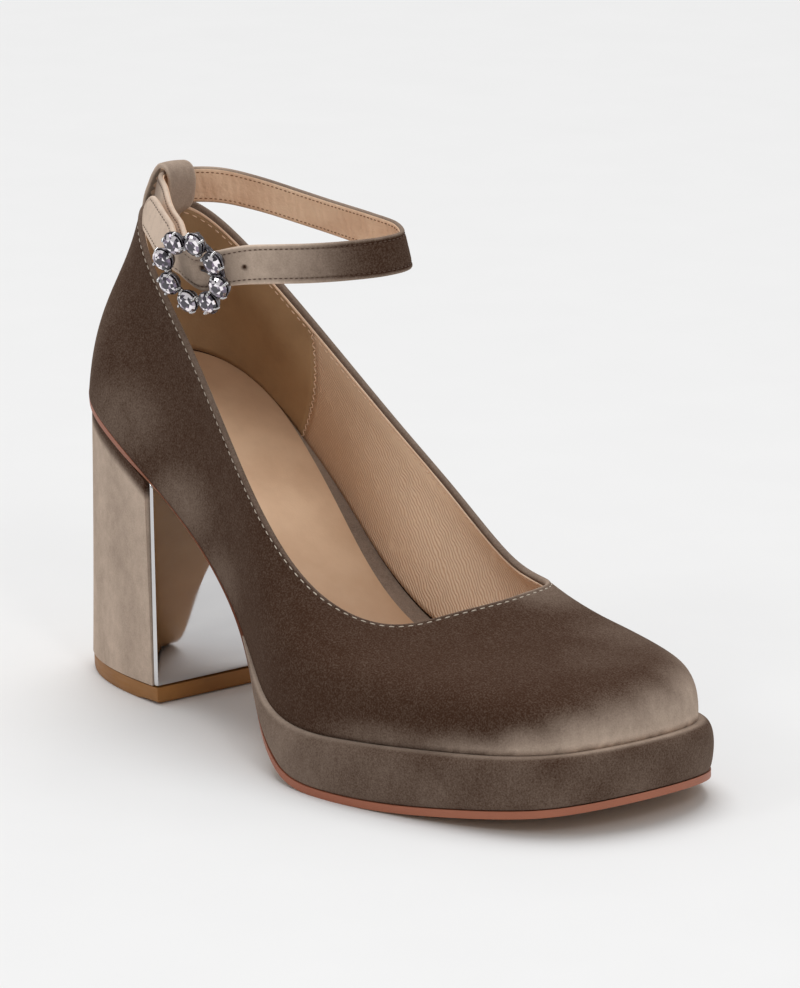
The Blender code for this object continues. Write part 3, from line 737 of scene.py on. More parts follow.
# %% Sections of the upper
Section = namedtuple("Section", "name feather_x feather_y top_x top_y top_z lean rise fall reach")
SECTIONS = [
    Section("back", 4.0, 0.0, 18.5, 0.0, 143.5, 94.5, 28.0, -76.0, 22.0),
    Section("back outer", 10.7, -19.3, 23.0, -10.2, 141.5, 94.0, 28.0, -78.0, 22.0),
    Section("heel outer", 28.0, -30.0, 37.0, -18.5, 130.5, 93.0, 23.5, -82.0, 20.0),
    Section("breast outer", 58.5, -30.0, 64.0, -24.5, 109.0, 91.5, 19.0, -87.0, 16.0),
    Section("waist outer", 94.5, -32.0, 93.5, -31.0, 83.5, 87.0, 16.5, -83.0, 14.5),
    Section("arch outer", 125.0, -44.0, 116.5, -35.0, 65.5, 84.0, 16.5, -73.0, 15.0),
    Section("joint outer", 156.0, -48.0, 136.5, -31.5, 50.5, 86.0, 20.0, -38.0, 16.0),
    Section("toe outer", 192.0, -38.5, 151.5, -20.5, 44.0, 88.0, 22.5, -19.0, 27.0),
    Section("corner outer", 220.5, -23.5, 159.5, -6.0, 46.0, 89.5, 23.0, -19.0, 37.0),
    Section("toe", 230.0, 3.0, 163.5, 8.5, 48.0, 88.5, 23.5, -20.5, 43.0),
    Section("corner inner", 223.5, 31.0, 163.5, 21.0, 49.0, 88.0, 24.5, -23.0, 41.0),
    Section("toe inner", 196.5, 41.5, 158.5, 32.0, 49.0, 87.0, 23.0, -27.0, 32.5),
    Section("joint inner", 165.0, 41.5, 141.0, 34.5, 51.5, 86.5, 20.0, -43.0, 19.0),
    Section("arch inner", 128.5, 31.5, 117.0, 35.0, 65.5, 83.5, 17.0, -72.0, 15.5),
    Section("waist inner", 95.0, 26.5, 94.0, 31.0, 83.5, 84.0, 16.5, -83.0, 14.5),
    Section("breast inner", 58.5, 30.0, 64.0, 24.5, 109.0, 92.0, 19.0, -87.0, 16.0),
    Section("heel inner", 28.0, 29.5, 37.0, 18.5, 130.5, 94.5, 23.0, -82.0, 20.0),
    Section("back inner", 10.0, 20.0, 23.0, 10.4, 141.5, 95.0, 27.5, -77.5, 22.0),
]
Station = namedtuple("Station", "x feather")
PROFILE = [
    Station(-10, 94.5), Station(0, 92.5), Station(25, 83.5), Station(50, 69.5), Station(75, 53.5),
    Station(90, 41.8), Station(100, 34.3), Station(110, 27.6), Station(120, 22.4), Station(130, 19.2),
    Station(140, 17.8), Station(150, 17.5), Station(165, 18.3), Station(178, 19.0), Station(190, 19.8),
    Station(205, 20.9), Station(215, 21.8), Station(224, 22.8), Station(234, 24.2), Station(245, 26.2),
]
WAY_ROUND = len(SECTIONS)


def feather_height(x):
    """The height of the feather line: a smooth curve through the stations that never overshoots."""
    xs, ys = np.array(PROFILE, float).T
    steps = np.diff(xs)
    slopes = np.diff(ys) / steps
    turn = np.concatenate([slopes[:1], np.zeros(len(xs) - 2), slopes[-1:]])
    for i in range(1, len(xs) - 1):
        if slopes[i - 1] * slopes[i] > 0:
            before = 2 * steps[i] + steps[i - 1]
            after = steps[i] + 2 * steps[i - 1]
            turn[i] = (before + after) / (before / slopes[i - 1] + after / slopes[i])
    i = np.clip(np.searchsorted(xs, x) - 1, 0, len(steps) - 1)
    t = (x - xs[i]) / steps[i]
    ends = ys[i] * (1 + 2 * t) * (1 - t) ** 2 + ys[i + 1] * t * t * (3 - 2 * t)
    return ends + steps[i] * (turn[i] * t * (1 - t) ** 2 + turn[i + 1] * t * t * (t - 1))


def closed_spline(rows, at):
    """A closed cubic spline through rows, read at places counted in rows."""
    rows = np.asarray(rows, float)
    ring = np.eye(len(rows))
    band = 4 * ring + np.roll(ring, 1, axis=1) + np.roll(ring, -1, axis=1)
    bend = np.linalg.solve(band, 6 * (np.roll(rows, -1, axis=0) - 2 * rows + np.roll(rows, 1, axis=0)))
    here = np.floor(at).astype(int) % len(rows)
    ahead = (here + 1) % len(rows)
    t = (at - np.floor(at))[:, None]
    s = 1 - t
    return s * rows[here] + t * rows[ahead] + ((s**3 - s) * bend[here] + (t**3 - t) * bend[ahead]) / 6


print("sections round the upper:", WAY_ROUND)

# %% A point anywhere on the wall
QUARTER_STEP = 0.25
SMALL_STEP = 0.01
FINE_STEPS = 240
STEEP = 8.0  # up to this far from top to foot, seen from above, the top's handle is square to the line
SLOPING = 28.0  # and from this far on it points straight to the foot


def wall_handles(at):
    """Foot, two handles and top of the wall's Bezier curve at places round the upper."""
    table = np.array([row[1:] for row in SECTIONS], float)
    shape = closed_spline(table, at)
    line = shape[:, :2]
    along = closed_spline(table, at + QUARTER_STEP)[:, :2] - closed_spline(table, at - QUARTER_STEP)[:, :2]
    out = unit(np.column_stack([along[:, 1], -along[:, 0]]))
    top = shape[:, 2:5]
    lean, rise, fall, reach = shape[:, 5:].T
    to_foot = line - top[:, :2]
    spread = np.linalg.norm(to_foot, axis=1, keepdims=True)
    share = ramp(spread, STEEP, SLOPING)
    way = unit((1 - share) * out + share * unit(to_foot))
    lean, fall = np.radians(lean), np.radians(fall)
    foot = np.column_stack([line, feather_height(line[:, 0])])
    low = foot + rise[:, None] * np.column_stack([out * np.cos(lean)[:, None], np.sin(lean)])
    high = top + reach[:, None] * np.column_stack([way * np.cos(fall)[:, None], np.sin(fall)])
    return foot, low, high, top


def wall_spots(at, t):
    """Points on the outer face at places round the upper, with t from 0 at the foot to 1."""
    foot, low, high, top = wall_handles(at.ravel())
    t = np.broadcast_to(t, at.shape).reshape(-1, 1)
    s = 1 - t
    points = s**3 * foot + 3 * s * s * t * low + 3 * s * t * t * high + t**3 * top
    return points.reshape(*at.shape, 3)


def wall_rows(at, near, shares, lean=0.0):
    """Points and normals of the outer face, and how far below the collar they lie.

    The first rows are the lengths in near below the collar, and the rest are shares of the way
    from the last of those to the foot. Lean moves single points round the upper.
    """
    fine = np.linspace(1, 0, FINE_STEPS)
    path = wall_spots(np.repeat(at[:, None], len(fine), axis=1), fine)
    done = np.cumsum(np.linalg.norm(np.diff(path, axis=1), axis=2), axis=1)
    done = np.concatenate([np.zeros((len(at), 1)), done], axis=1)
    below = np.array([np.concatenate([near, near[-1] + shares * (way[-1] - near[-1])]) for way in done])
    t = np.array([np.interp(wanted, way, fine) for wanted, way in zip(below, done)])
    spots = np.zeros(t.shape) + at[:, None] + lean
    along = wall_spots(spots + SMALL_STEP, t) - wall_spots(spots - SMALL_STEP, t)
    above, under = np.minimum(t + SMALL_STEP, 1), np.maximum(t - SMALL_STEP, 0)
    up = wall_spots(spots, above) - wall_spots(spots, under)
    return wall_spots(spots, t), unit(np.cross(along, up)), below


BACK_AND_TOE = np.array([0.0, 9.0])
_, _, wall_lengths = wall_rows(BACK_AND_TOE, np.zeros(1), np.ones(1))
print("wall at the back and the toe is", np.round(wall_lengths[:, -1], 1), "mm long")

# %% [markdown]
# ## The velvet upper
# The cloth is lasted over the form, and folded in over the collar. The grid's columns go round the
# shoe and its rows go up the outside, over the rounded rim and down the inside, so one closed sheet
# is the whole wall. The rows lie close together near the collar, where the stitching pulls a groove
# into the cloth and the folded edge stands a little proud. The columns lie close together at the
# side seam. Where the foot bends and where the cloth was pulled round the last, soft troughs and
# ridges are listed one by one.

# %% Creases, seam and collar in the cloth
WALL = 1.8
COLLAR_STITCH = 1.75  # from the collar's edge to its stitching
FOOT_GAP = 0.28  # the cloth goes down this far past the feather line to the sole
SIDE_SEAM = 14.05  # sections round the upper, at the inner waist
SEAM_SECTION = 37.0  # millimetres round the upper in one section there
SEAM_SLANT = 0.003  # sections that the seam moves with each millimetre down
WAVE_HEIGHT = 0.10
WAVE_START = 8.0  # below the collar, where the waves have their full height

Groove = namedtuple("Groove", "depth width")
COLLAR_GROOVE = Groove(0.24, 0.35)
SEAM_GROOVE = Groove(0.34, 0.45)
FOLDED_EDGE = Groove(-0.12, 0.5)  # a ridge

Crease = namedtuple("Crease", "at below slant length width depth")
# Places are counted in sections round the upper and millimetres below the collar. Slant is how far
# down a crease moves for each section, and a negative depth is a ridge.
CREASES = [
    Crease(5.9, 17.0, 6.0, 1.3, 4.0, 0.30),
    Crease(6.2, 26.0, 5.0, 1.2, 5.0, -0.22),
    Crease(12.2, 14.0, -6.0, 1.2, 4.5, 0.35),
    Crease(11.8, 23.0, -7.0, 1.4, 5.0, -0.25),
    Crease(8.2, 14.0, 3.0, 1.6, 6.0, 0.22),
    Crease(10.0, 22.0, -2.0, 1.5, 7.0, 0.28),
    Crease(4.0, 20.0, 4.0, 0.8, 6.0, 0.22),
    Crease(2.4, 22.0, -5.0, 1.0, 7.0, 0.25),
    Crease(15.4, 24.0, 5.0, 1.0, 7.0, 0.25),
    Crease(9.0, 52.0, 0.0, 2.4, 7.0, -0.35),
]


def cloth_relief(at, below):
    """How far the cloth stands out from the smooth wall, in millimetres."""
    at = at[:, None]
    off_seam = (at - SIDE_SEAM - SEAM_SLANT * below) * SEAM_SECTION
    grooves = [
        (below - COLLAR_STITCH, COLLAR_GROOVE),
        (below - COLLAR_STITCH / 2, FOLDED_EDGE),
        (off_seam, SEAM_GROOVE),
    ]
    relief = -sum(groove.depth * hill(away, groove.width) for away, groove in grooves)
    for crease in CREASES:
        aside = (at - crease.at + WAY_ROUND / 2) % WAY_ROUND - WAY_ROUND / 2
        down = below - crease.below - crease.slant * aside
        relief = relief - crease.depth * hill(aside, crease.length / 2) * hill(down, crease.width)
    waves = np.sin(at * 2.1 + below * 0.11) * np.sin(at * 1.3 - below * 0.07 + 1.0)
    return relief + WAVE_HEIGHT * waves * ramp(below, 0, WAVE_START)


COLUMNS_PER_SECTION = 16
SIDE_ROWS = 44
NEAR_ROWS = np.array([0.9, 1.1, 1.3, 1.45, 1.6, 1.75, 1.9, 2.05, 2.2, 2.5, 2.9, 3.4, 4.0, 4.8, 5.8, 7.0])
even_columns = np.arange(0, WAY_ROUND, 1 / COLUMNS_PER_SECTION)
seam_columns = SIDE_SEAM + np.linspace(-0.08, 0.12, 21)
COLUMNS = np.unique(np.round(np.concatenate([even_columns, seam_columns]), 4))
outer, outward, below = wall_rows(COLUMNS, NEAR_ROWS, np.linspace(0, 1, SIDE_ROWS)[1:])
velvet_face = outer + outward * cloth_relief(COLUMNS, below)[:, :, None]
velvet_face[:, -1, 2] -= FOOT_GAP
print("upper grid:", velvet_face.shape[0], "columns of", velvet_face.shape[1], "rows on the outside")

# %% Wrap the velvet upper
RIM_STEPS = 7
# Painted sheen on the collar's rolled rim, paler on the far side, fading down the inside to paint out the
# shade there.
RIM_SHEEN = 0.13
FAR_RIM_SHEEN = 0.24  # on the inner side of the foot
# Painted light at the foot of the toe, against the shade where the cloth meets the platform.
FOOT_LIGHT = 0.27  # where the toe's cloth meets the platform
QUARTER_SHADE = 0.015  # on the back part
UPPER_SHADE = 0.02
RIM_FADE = 1.4
INSIDE_FADE = 4.0
FOOT_FADE = 2.2
INNER_SIDE = (-5, 15)  # across the shoe, where the far rim's shade starts and is full
TOE_PART = (185, 215)  # along it, the same for the toe
BACK_PART = (115, 85)  # and for the back
rim_middle = outer[:, 0] - outward[:, 0] * WALL / 2
rim_up = unit(outer[:, 0] - outer[:, 1])
rim = []
for turn in np.linspace(0, math.pi, RIM_STEPS + 2)[1:-1]:
    rim.append(rim_middle + WALL / 2 * (math.cos(turn) * outward[:, 0] + math.sin(turn) * rim_up))
rim = np.stack(rim, axis=1)
inside = (outer - WALL * outward)[:, ::2]
inside[:, -1, 2] -= FOOT_GAP
sheet = np.concatenate([velvet_face[:, ::-1], rim, inside, velvet_face[:, -1:]], axis=1)
inner_share = ramp(outer[:, :1, 1], *INNER_SIDE)
rim_sheen = RIM_SHEEN + (FAR_RIM_SHEEN - RIM_SHEEN) * inner_share
edge_shade = np.concatenate(
    [
        RIM_SHEEN * hill(below[:, ::-1], RIM_FADE),
        np.repeat(rim_sheen, RIM_STEPS, axis=1),
        rim_sheen * hill(below[:, ::2], INSIDE_FADE),
    ],
    axis=1,
)
edge_shade = np.concatenate([edge_shade, edge_shade[:, :1]], axis=1)
above_foot = (below[:, -1:] - below)[:, ::-1]
at_toe = ramp(velvet_face[:, ::-1, 0], *TOE_PART)
edge_shade[:, : above_foot.shape[1]] += FOOT_LIGHT * at_toe * hill(above_foot, FOOT_FADE)
edge_shade += QUARTER_SHADE * ramp(sheet[:, :, 0], *BACK_PART)
shade = np.clip(painted_sheen(sheet, UPPER_SHADE) + edge_shade, 0, 1)
sheet = np.concatenate([sheet, sheet[:1]])
shade = np.concatenate([shade, shade[:1]])
new_piece("velvet_upper", close_up(wrapped_grid(sheet, {"nap": shade})), velvet, ["upper"])

# %% [markdown]
# ## Lining
# Inside, the back half of the shoe is lined with smooth brown leather and the front half with the
# ribbed one. Both are turned under at the top, which makes a thin pale roll below the velvet's
# fold. They are made like the upper, as closed sheets along its inside, and end in a seam that
# leans back on either side of the waist.

# %% Lining sheets
LINING = 0.35
LINING_GAP = 0.05
LINING_TOP = 2.15  # below the collar's edge
LINING_END = 1.5  # above the feather line, below the top of the insole
INNER_SEAM = 15.03
OUTER_SEAM = WAY_ROUND - INNER_SEAM
SEAM_LEAN = 0.22  # sections that the seam moves back from the collar to the sole
SEAM_BOW = 0.07  # sections that it bends forward half way down
INSIDE = WALL + LINING_GAP + LINING  # from the velvet's face to the lining's
RIB_REACH = (3.0, 9.0)  # below the collar, where the ribs start and have their full depth
# The vamp's lining is darker towards the back.
BACK_DARKENING = 0.38
BACK_DARKENING_REACH = (105, 75)  # along the shoe, where the vamp's lining starts to darken and is darkest
LINING_COLUMNS = 14  # in each section
LINING_ROWS = 30


def lining_sheet(name, first, last, turn, material):
    """A closed sheet on the inside of the wall between two seams, which lean the way of turn."""
    at = np.linspace(first, last, int((last - first) * LINING_COLUMNS) + 1)
    rows = np.linspace(0, 1, LINING_ROWS)
    aside = np.linspace(-turn, turn, len(at))
    lean = aside[:, None] * (SEAM_LEAN * rows**2 - 4 * SEAM_BOW * rows * (1 - rows))
    points, normals, depth = wall_rows(at, np.array([LINING_TOP]), rows[1:], lean)
    count = int((depth < depth[:, -1:] - LINING_END).sum(axis=1).min())
    points, normals, depth = points[:, :count], normals[:, :count], depth[:, :count]
    face = points - normals * INSIDE
    back = points - normals * (INSIDE - LINING)
    sheet = np.concatenate([face[:, ::-1], back, face[:, -1:]], axis=1)
    ribbed = ramp(depth, *RIB_REACH)
    ribbed = np.concatenate([ribbed[:, ::-1], ribbed, ribbed[:, -1:]], axis=1)
    made = new_piece(name, close_up(wrapped_grid(sheet, {"ribbed": ribbed})), material)
    return made, (points, normals, depth)


_, counter_face = lining_sheet(
    "counter_lining", INNER_SEAM, WAY_ROUND + OUTER_SEAM, -1.0, counter_leather
)
vamp_lining, vamp_face = lining_sheet("vamp_lining", OUTER_SEAM, INNER_SEAM, 1.0, ribbed_leather)
mark(vamp_lining, "darkened", BACK_DARKENING * ramp(points_of(vamp_lining)[0][:, 0], *BACK_DARKENING_REACH))

# %% The turned edge of the lining
FOLD_TALL = 0.52
FOLD_THICK = 0.28
FOLD_STEPS = 10
fold_rows = LINING_TOP + np.array([0.0, 0.4])  # the fold, and a place below it that gives the way up
fold_points, fold_normals, _ = wall_rows(COLUMNS, fold_rows, np.ones(1))
fold_up = unit(fold_points[:, 0] - fold_points[:, 1])
fold_ring = []
for turn in np.linspace(0, 2 * math.pi, FOLD_STEPS + 1):
    swell = INSIDE + FOLD_THICK * math.sin(turn)
    fold_ring.append(fold_points[:, 0] - swell * fold_normals[:, 0] + FOLD_TALL * math.cos(turn) * fold_up)
fold = np.stack(fold_ring)
fold = np.concatenate([fold, fold[:, :1]], axis=1)
new_piece("lining_fold", close_up(wrapped_grid(fold)), fold_leather)

# %% [markdown]
# ## Stitches
# A lockstitch shows as a row of short thread loops that dip into the cloth at both ends. All of them
# are one small ball, stretched along the seam and sunk half into it. A matrix for each one places
# it, and the copies are joined to one mesh, which is much faster than an operator call for each.

# %% A row of stitches


def along_line(points, step):
    """Places every so many millimetres along a line, the way it runs there, and shares of its length."""
    done = lengths_along(points)
    count = max(2, int(done[-1] / step))
    wanted = (np.arange(count) + 0.5) * done[-1] / count
    before, here, after = (read_along(points, done, wanted + shift) for shift in (-step / 4, 0.0, step / 4))
    return here, unit(after - before), wanted / done[-1]


def stitch_row(points, normals, pitch, length, turn=0.0):
    """Matrices of stitches along a line on a surface; turn slants every other one the other way."""
    places, headings, shares = along_line(points, pitch)
    outs = unit(read_along(normals, np.linspace(0, 1, len(normals)), shares))
    rows = []
    for number, (where, heading, out) in enumerate(zip(places, headings, outs)):
        side = unit(np.cross(out, heading))
        angle = turn * (-1) ** number
        ahead = math.cos(angle) * heading + math.sin(angle) * side
        side = np.cross(out, ahead)
        matrix = np.eye(4)
        matrix[:3, :3] = np.column_stack([ahead * length, side * THREAD, out * THREAD]) * MM / 2
        matrix[:3, 3] = in_place(where)
        rows.append(matrix)
    return rows


def even_row(points, normals, pitch, length, turn=0.0):
    """A row of stitches along a line whose points aren't evenly spaced."""
    line = np.column_stack([points, normals])
    done = lengths_along(points)
    line = read_along(line, done, np.linspace(0, done[-1], len(line) * 2))
    return stitch_row(line[:, :3], line[:, 3:], pitch, length, turn)


STITCH_PITCH = 2.7
STITCH_LONG = 1.7
THREAD = 0.38
STITCH_LIFT = 0.1  # out from the bottom of their groove
collar_row = int(np.argmin(abs(NEAR_ROWS - COLLAR_STITCH)))
collar_out = np.concatenate([outward, outward[:1]])[:, collar_row]
collar = np.concatenate([velvet_face, velvet_face[:1]])[:, collar_row] + STITCH_LIFT * collar_out
stitches = even_row(collar, collar_out, STITCH_PITCH, STITCH_LONG)
new_piece("collar_stitches", joined_copies(small_bead(), stitches), pale_thread)
print("stitches round the collar:", len(stitches))

# %% Stitches inside
LINING_STITCH = 1.6  # below the lining's top
LINING_LIFT = 0.07  # out of the lining's face
ZIGZAG_PITCH = 1.2
ZIGZAG_LONG = 1.7
ZIGZAG_TURN = 0.8
ZIGZAG_LIFT = 0.05
stitches = []
for points, normals, depth in (counter_face, vamp_face):
    row = int(np.argmin(abs(depth[len(depth) // 2] - LINING_TOP - LINING_STITCH)))
    face = points[:, row] - normals[:, row] * (INSIDE + LINING_LIFT)
    stitches += even_row(face, -normals[:, row], STITCH_PITCH, STITCH_LONG)
points, normals, _ = vamp_face
for end in (0, -1):
    face = points[end] - normals[end] * (INSIDE + ZIGZAG_LIFT)
    stitches += even_row(face, -normals[end], ZIGZAG_PITCH, ZIGZAG_LONG, ZIGZAG_TURN)
new_piece("lining_stitches", joined_copies(small_bead(), stitches), tan_thread)
print("stitches in the lining:", len(stitches))

# %% [markdown]
# ## Platform, insole and heel cover
# The platform under the ball, the board of the insole and the heel block are hard cores covered in
# the same velvet. Their CAD solids have the right form, so finer copies of them are enough, with
# the nap brushed on: the heel was stroked upwards and is pale all over with painted sheen but for a
# band of painted shadow under its seat, where the sole overhangs it, and the platform is in between,
# with a painted highlight along its upper edge, on the ledge that the upper shades. The band of
# painted shadow on the heel is narrower than the heel's faces, so `bisect_plane` cuts them along it first.

# %% Velvet covers
# The platform's pale line is a painted highlight, on the ledge along its upper edge that the upper shades.
LEDGE_HIGHLIGHT = 0.52  # the pale line along the platform's upper edge
LEDGE_HIGHLIGHT_AT = 0.1  # below the feather line
LEDGE_HIGHLIGHT_WIDE = 0.60
LOOKS_DOWN = -0.2  # a face whose normal points further down than this has no pale line
PLATFORM_SHADE = 0.115
WAIST_SHADE = 0.13  # more, where the platform runs out under the waist
WAIST_AT = 135
WAIST_LONG = 30
SMUDGE = 0.03
# Painted shade: faces that look up get darker nap, against the light they catch from above.
UPWARD_FACE_SHADE = 0.05  # less, on faces that look up
INSOLE_GAP = 0.6  # the cover reaches this much further out, to the lining
INSOLE_SHADE = 0.28
INSOLE_PALE = 0.30  # more, at the heel
INSOLE_HEEL = (80, 50)  # along the shoe, where that starts and is full
platform = finer_copy("platform", "platform_cover", velvet, levels=3)
points, normals = points_of(platform)
x, y, z = points.T
up = normals[:, 2]
under_edge = feather_height(np.clip(x, PROFILE[0].x, PROFILE[-1].x - 1)) - z
ledge_highlight = LEDGE_HIGHLIGHT * hill(under_edge - LEDGE_HIGHLIGHT_AT, LEDGE_HIGHLIGHT_WIDE) * (up > LOOKS_DOWN)
smudges = np.sin(0.17 * x + 0.23 * y) * np.sin(0.2 * z - 0.11 * x)
platform_shade = PLATFORM_SHADE + WAIST_SHADE * hill(x - WAIST_AT, WAIST_LONG) + SMUDGE * smudges
platform_shade -= UPWARD_FACE_SHADE * np.clip(up, 0, 1)
mark(platform, "nap", np.clip(platform_shade + ledge_highlight, 0, 1))

insole = finer_copy("insole", "insole_cover", velvet, levels=2, rounding=0.25)
points, normals = points_of(insole)
shift_points(insole, INSOLE_GAP * normals * (1, 1, 0))
mark(insole, "nap", INSOLE_SHADE + INSOLE_PALE * ramp(points[:, 0], *INSOLE_HEEL))

# %% The heel's cover and its band of painted shadow
SEAT_CUTS = [1.2, 2.3, 3.1, 3.9, 4.7, 5.5, 7.0]
# Painted shadow: a dark band of nap under the seat, where the sole overhangs the heel.
SEAT_SHADOW = (2.3, 5.5)  # down from the seat, where the nap stops being dark and where it is pale
SEAT_SHADOW_CURVE = 1.5  # how slowly it starts to pale
SEAT_SHADOW_NAP = 0.04
HEEL_SHADE = 0.62
HEEL_SMUDGE = 0.05
HEEL_FOOT = (40, 0)  # above the floor, where the foot of the heel starts to pale and is palest
HEEL_FOOT_SHADE = 0.05
LOOKS_UP = 0.5  # the faces of the seat have normals that point further up
heel = finer_copy("heel_block", "heel_cover", velvet, levels=3, rounding=0.4)
points, normals = points_of(heel)
on_seat = normals[:, 2] > LOOKS_UP
seat_curve = np.polyfit(points[on_seat, 0], points[on_seat, 2], 3)
seat_ends = np.array([points[:, 0].min(), points[:, 0].max()])
seat_heights = np.polyval(seat_curve, seat_ends)
seat_fall = seat_heights[1] - seat_heights[0]
bm = bmesh.new()
bm.from_mesh(heel.data)
for depth in SEAT_CUTS:
    bmesh.ops.bisect_plane(
        bm,
        geom=[*bm.verts, *bm.edges, *bm.faces],
        plane_co=in_place((seat_ends[0], 0, seat_heights[0] - depth)),
        plane_no=(-seat_fall, 0, seat_ends[1] - seat_ends[0]),
    )
bm.to_mesh(heel.data)
bm.free()
x, y, z = points_of(heel)[0].T
smudges = np.sin(0.29 * x - 0.35 * y + 0.05 * z)
pale_shade = HEEL_SHADE + HEEL_SMUDGE * smudges + HEEL_FOOT_SHADE * ramp(z, *HEEL_FOOT)
past_seat_shadow = ramp(np.polyval(seat_curve, x) - z, *SEAT_SHADOW) ** SEAT_SHADOW_CURVE
mark(heel, "nap", np.clip(SEAT_SHADOW_NAP + past_seat_shadow * pale_shade, 0, 1))
print("the seat falls", round(-seat_fall, 1), "mm to the breast")

# %% [markdown]
# ## Sock, sole, plate and lift
# The sock is a thin leather sheet glued on the insole, darker towards the front with painted shade, where the
# vamp shades it.
# The outsole is cut from sheet, pared thin at the waist and painted along its edge. The plate on the
# heel's breast is polished metal, and the lift is a slice of rubber with rounded edges.

# %% Leather, metal and rubber of the bottom
SOCK_GROWTH = 0.5  # at the heel, out to the lining
SOCK_HEEL = (90, 65)  # along the shoe, where that starts and is full
# Painted shade: the sock turns darker towards the front, in the shade of the vamp.
SOCK_SHADE = 0.90
SOCK_SHADE_REACH = (74, 126)  # where the sock starts to darken and is darkest
EDGE_TURN = (-0.8, -0.5)  # how far up a face of the outsole looks, where the edge's paint starts and is full
# Painted shade on the outsole's painted edge along the waist.
SOLE_WAIST_SHADE = 0.40
SOLE_WAIST_AT = 78
SOLE_WAIST_LONG = 46
sock = finer_copy("sock", "sock_sheet", sock_leather, levels=2, rounding=0.25)
points, normals = points_of(sock)
shift_points(sock, SOCK_GROWTH * ramp(points[:, :1], *SOCK_HEEL) * normals * (1, 1, 0))
mark(sock, "darkened", SOCK_SHADE * ramp(points[:, 0], *SOCK_SHADE_REACH))
outsole = finer_copy(
    "outsole", "outsole_sheet", sole_leather, levels=2, rounding=0.3, keep_angle=30
)
points, normals = points_of(outsole)
mark(outsole, "edge", ramp(normals[:, 2], *EDGE_TURN))
mark(outsole, "waist_edge_shade", SOLE_WAIST_SHADE * hill(((points[:, 0] - SOLE_WAIST_AT) / SOLE_WAIST_LONG) ** 2, 1.0))
finer_copy("heel_breast_plate", "breast_plate", chrome, levels=2)
finer_copy("heel_top_lift", "top_lift", lift_rubber, levels=2, rounding=0.5)

# %% [markdown]
# ## The strap
# The strap is one strip. It starts folded inside the buckle, turns round the bar, runs back along
# the outer side, goes through the loop at the back of the heel and home along the inner side, bends
# round the front, and passes under and over the buckle to its rounded tip. The route is a list of
# given places, and a spline joins them. The cross-section is drawn once and carried along:
# velvet over the outside, two stitched grooves, round edges, flat inside.

# %% The buckle's frame of reference
BUCKLE_AT = (71.4, -22.9, 134.8)
BUCKLE_TURN = 15.0
BUCKLE_TILT = 4.0
BUCKLE_LEAN = -15.0
STRAP_LEAN = 14.0
ANKLE_AT = (60.0, -2.0)
Way = namedtuple("Way", "x y z")
buckle_axes = (
    Matrix.Rotation(math.radians(BUCKLE_TURN), 3, "Z")
    @ Matrix.Rotation(math.radians(-BUCKLE_LEAN), 3, "X")
    @ Matrix.Rotation(math.radians(-BUCKLE_TILT), 3, "Y")
    @ Matrix.Rotation(math.radians(90), 3, "X")
)
# Local x runs along the strap, y up across it and z out from the foot, in millimetres.
BUCKLE = Matrix.Translation(in_place(BUCKLE_AT)) @ buckle_axes.to_4x4() @ Matrix.Scale(MM, 4)


def by_buckle(along, up, out):
    """A place from the middle of the buckle's bar: along the strap, up across it, out from the foot."""
    return Way(*(np.array(BUCKLE_AT) + np.array(buckle_axes @ Vector((along, up, out)))))


OVER_BAR = by_buckle(0.0, -1.6, 3.6)
STRAP_ROUTE = [
    by_buckle(-9.6, 1.6, -5.2),
    by_buckle(-4.8, -0.7, -2.3),
    by_buckle(0.0, -1.9, -1.8),
    by_buckle(1.3, -2.0, -1.3),
    by_buckle(1.8, -2.0, 0.0),
    by_buckle(1.3, -2.0, 1.3),
    by_buckle(0.0, -1.9, 1.8),
    by_buckle(-4.6, -0.6, 0.2),
    by_buckle(-9.0, 1.5, -2.6),
    Way(55.0, -21.3, 139.2),
    Way(46.0, -17.8, 141.8),
    Way(36.0, -12.0, 145.4),
    Way(27.2, -6.6, 147.0),
    Way(24.2, 0.0, 147.3),
    Way(26.8, 7.2, 147.4),
    Way(33.0, 12.8, 147.3),
    Way(43.0, 18.6, 145.6),
    Way(59.0, 24.4, 142.6),
    Way(73.0, 26.4, 141.0),
    Way(87.0, 27.4, 139.8),
    Way(98.6, 27.4, 138.6),
    Way(105.0, 23.6, 137.6),
    Way(105.6, 15.6, 137.0),
    Way(101.0, 6.6, 136.2),
    Way(94.6, -2.6, 135.6),
    Way(88.4, -10.6, 135.4),
    by_buckle(13.4, -1.0, -2.3),
    by_buckle(9.3, -0.6, 0.6),
    by_buckle(5.0, -0.9, 2.6),
    OVER_BAR,
    by_buckle(-4.6, -0.4, 2.5),
    by_buckle(-9.0, 1.5, 0.8),
    by_buckle(-11.8, 2.6, -0.5),
    Way(50.0, -23.4, 141.0),
    Way(42.6, -20.6, 143.4),
    Way(38.2, -18.8, 144.4),
]
LOOP_ROUTE = [
    Way(13.6, 0.0, 131.5),
    Way(15.2, 0.0, 136.0),
    Way(16.5, 0.0, 140.5),
    Way(17.7, 0.0, 144.4),
    Way(19.4, 0.0, 147.6),
    Way(21.6, 0.0, 151.2),
    Way(24.6, 0.0, 154.1),
    Way(27.8, 0.0, 153.7),
    Way(29.4, 0.0, 150.6),
    Way(29.1, 0.0, 146.0),
    Way(27.4, 0.0, 142.0),
    Way(24.6, 0.0, 140.2),
    Way(22.2, 0.0, 138.8),
    Way(20.7, 0.0, 136.6),
]
print("strap route:", len(STRAP_ROUTE), "places; loop route:", len(LOOP_ROUTE))

# %% Strips along a route
Strip = namedtuple("Strip", "middle side out done")
FACE_COUNT = 25  # places across the face
BACK_COUNT = 9
EDGE_TURNS = np.radians([30, 60, 90, 120, 150])  # round an edge


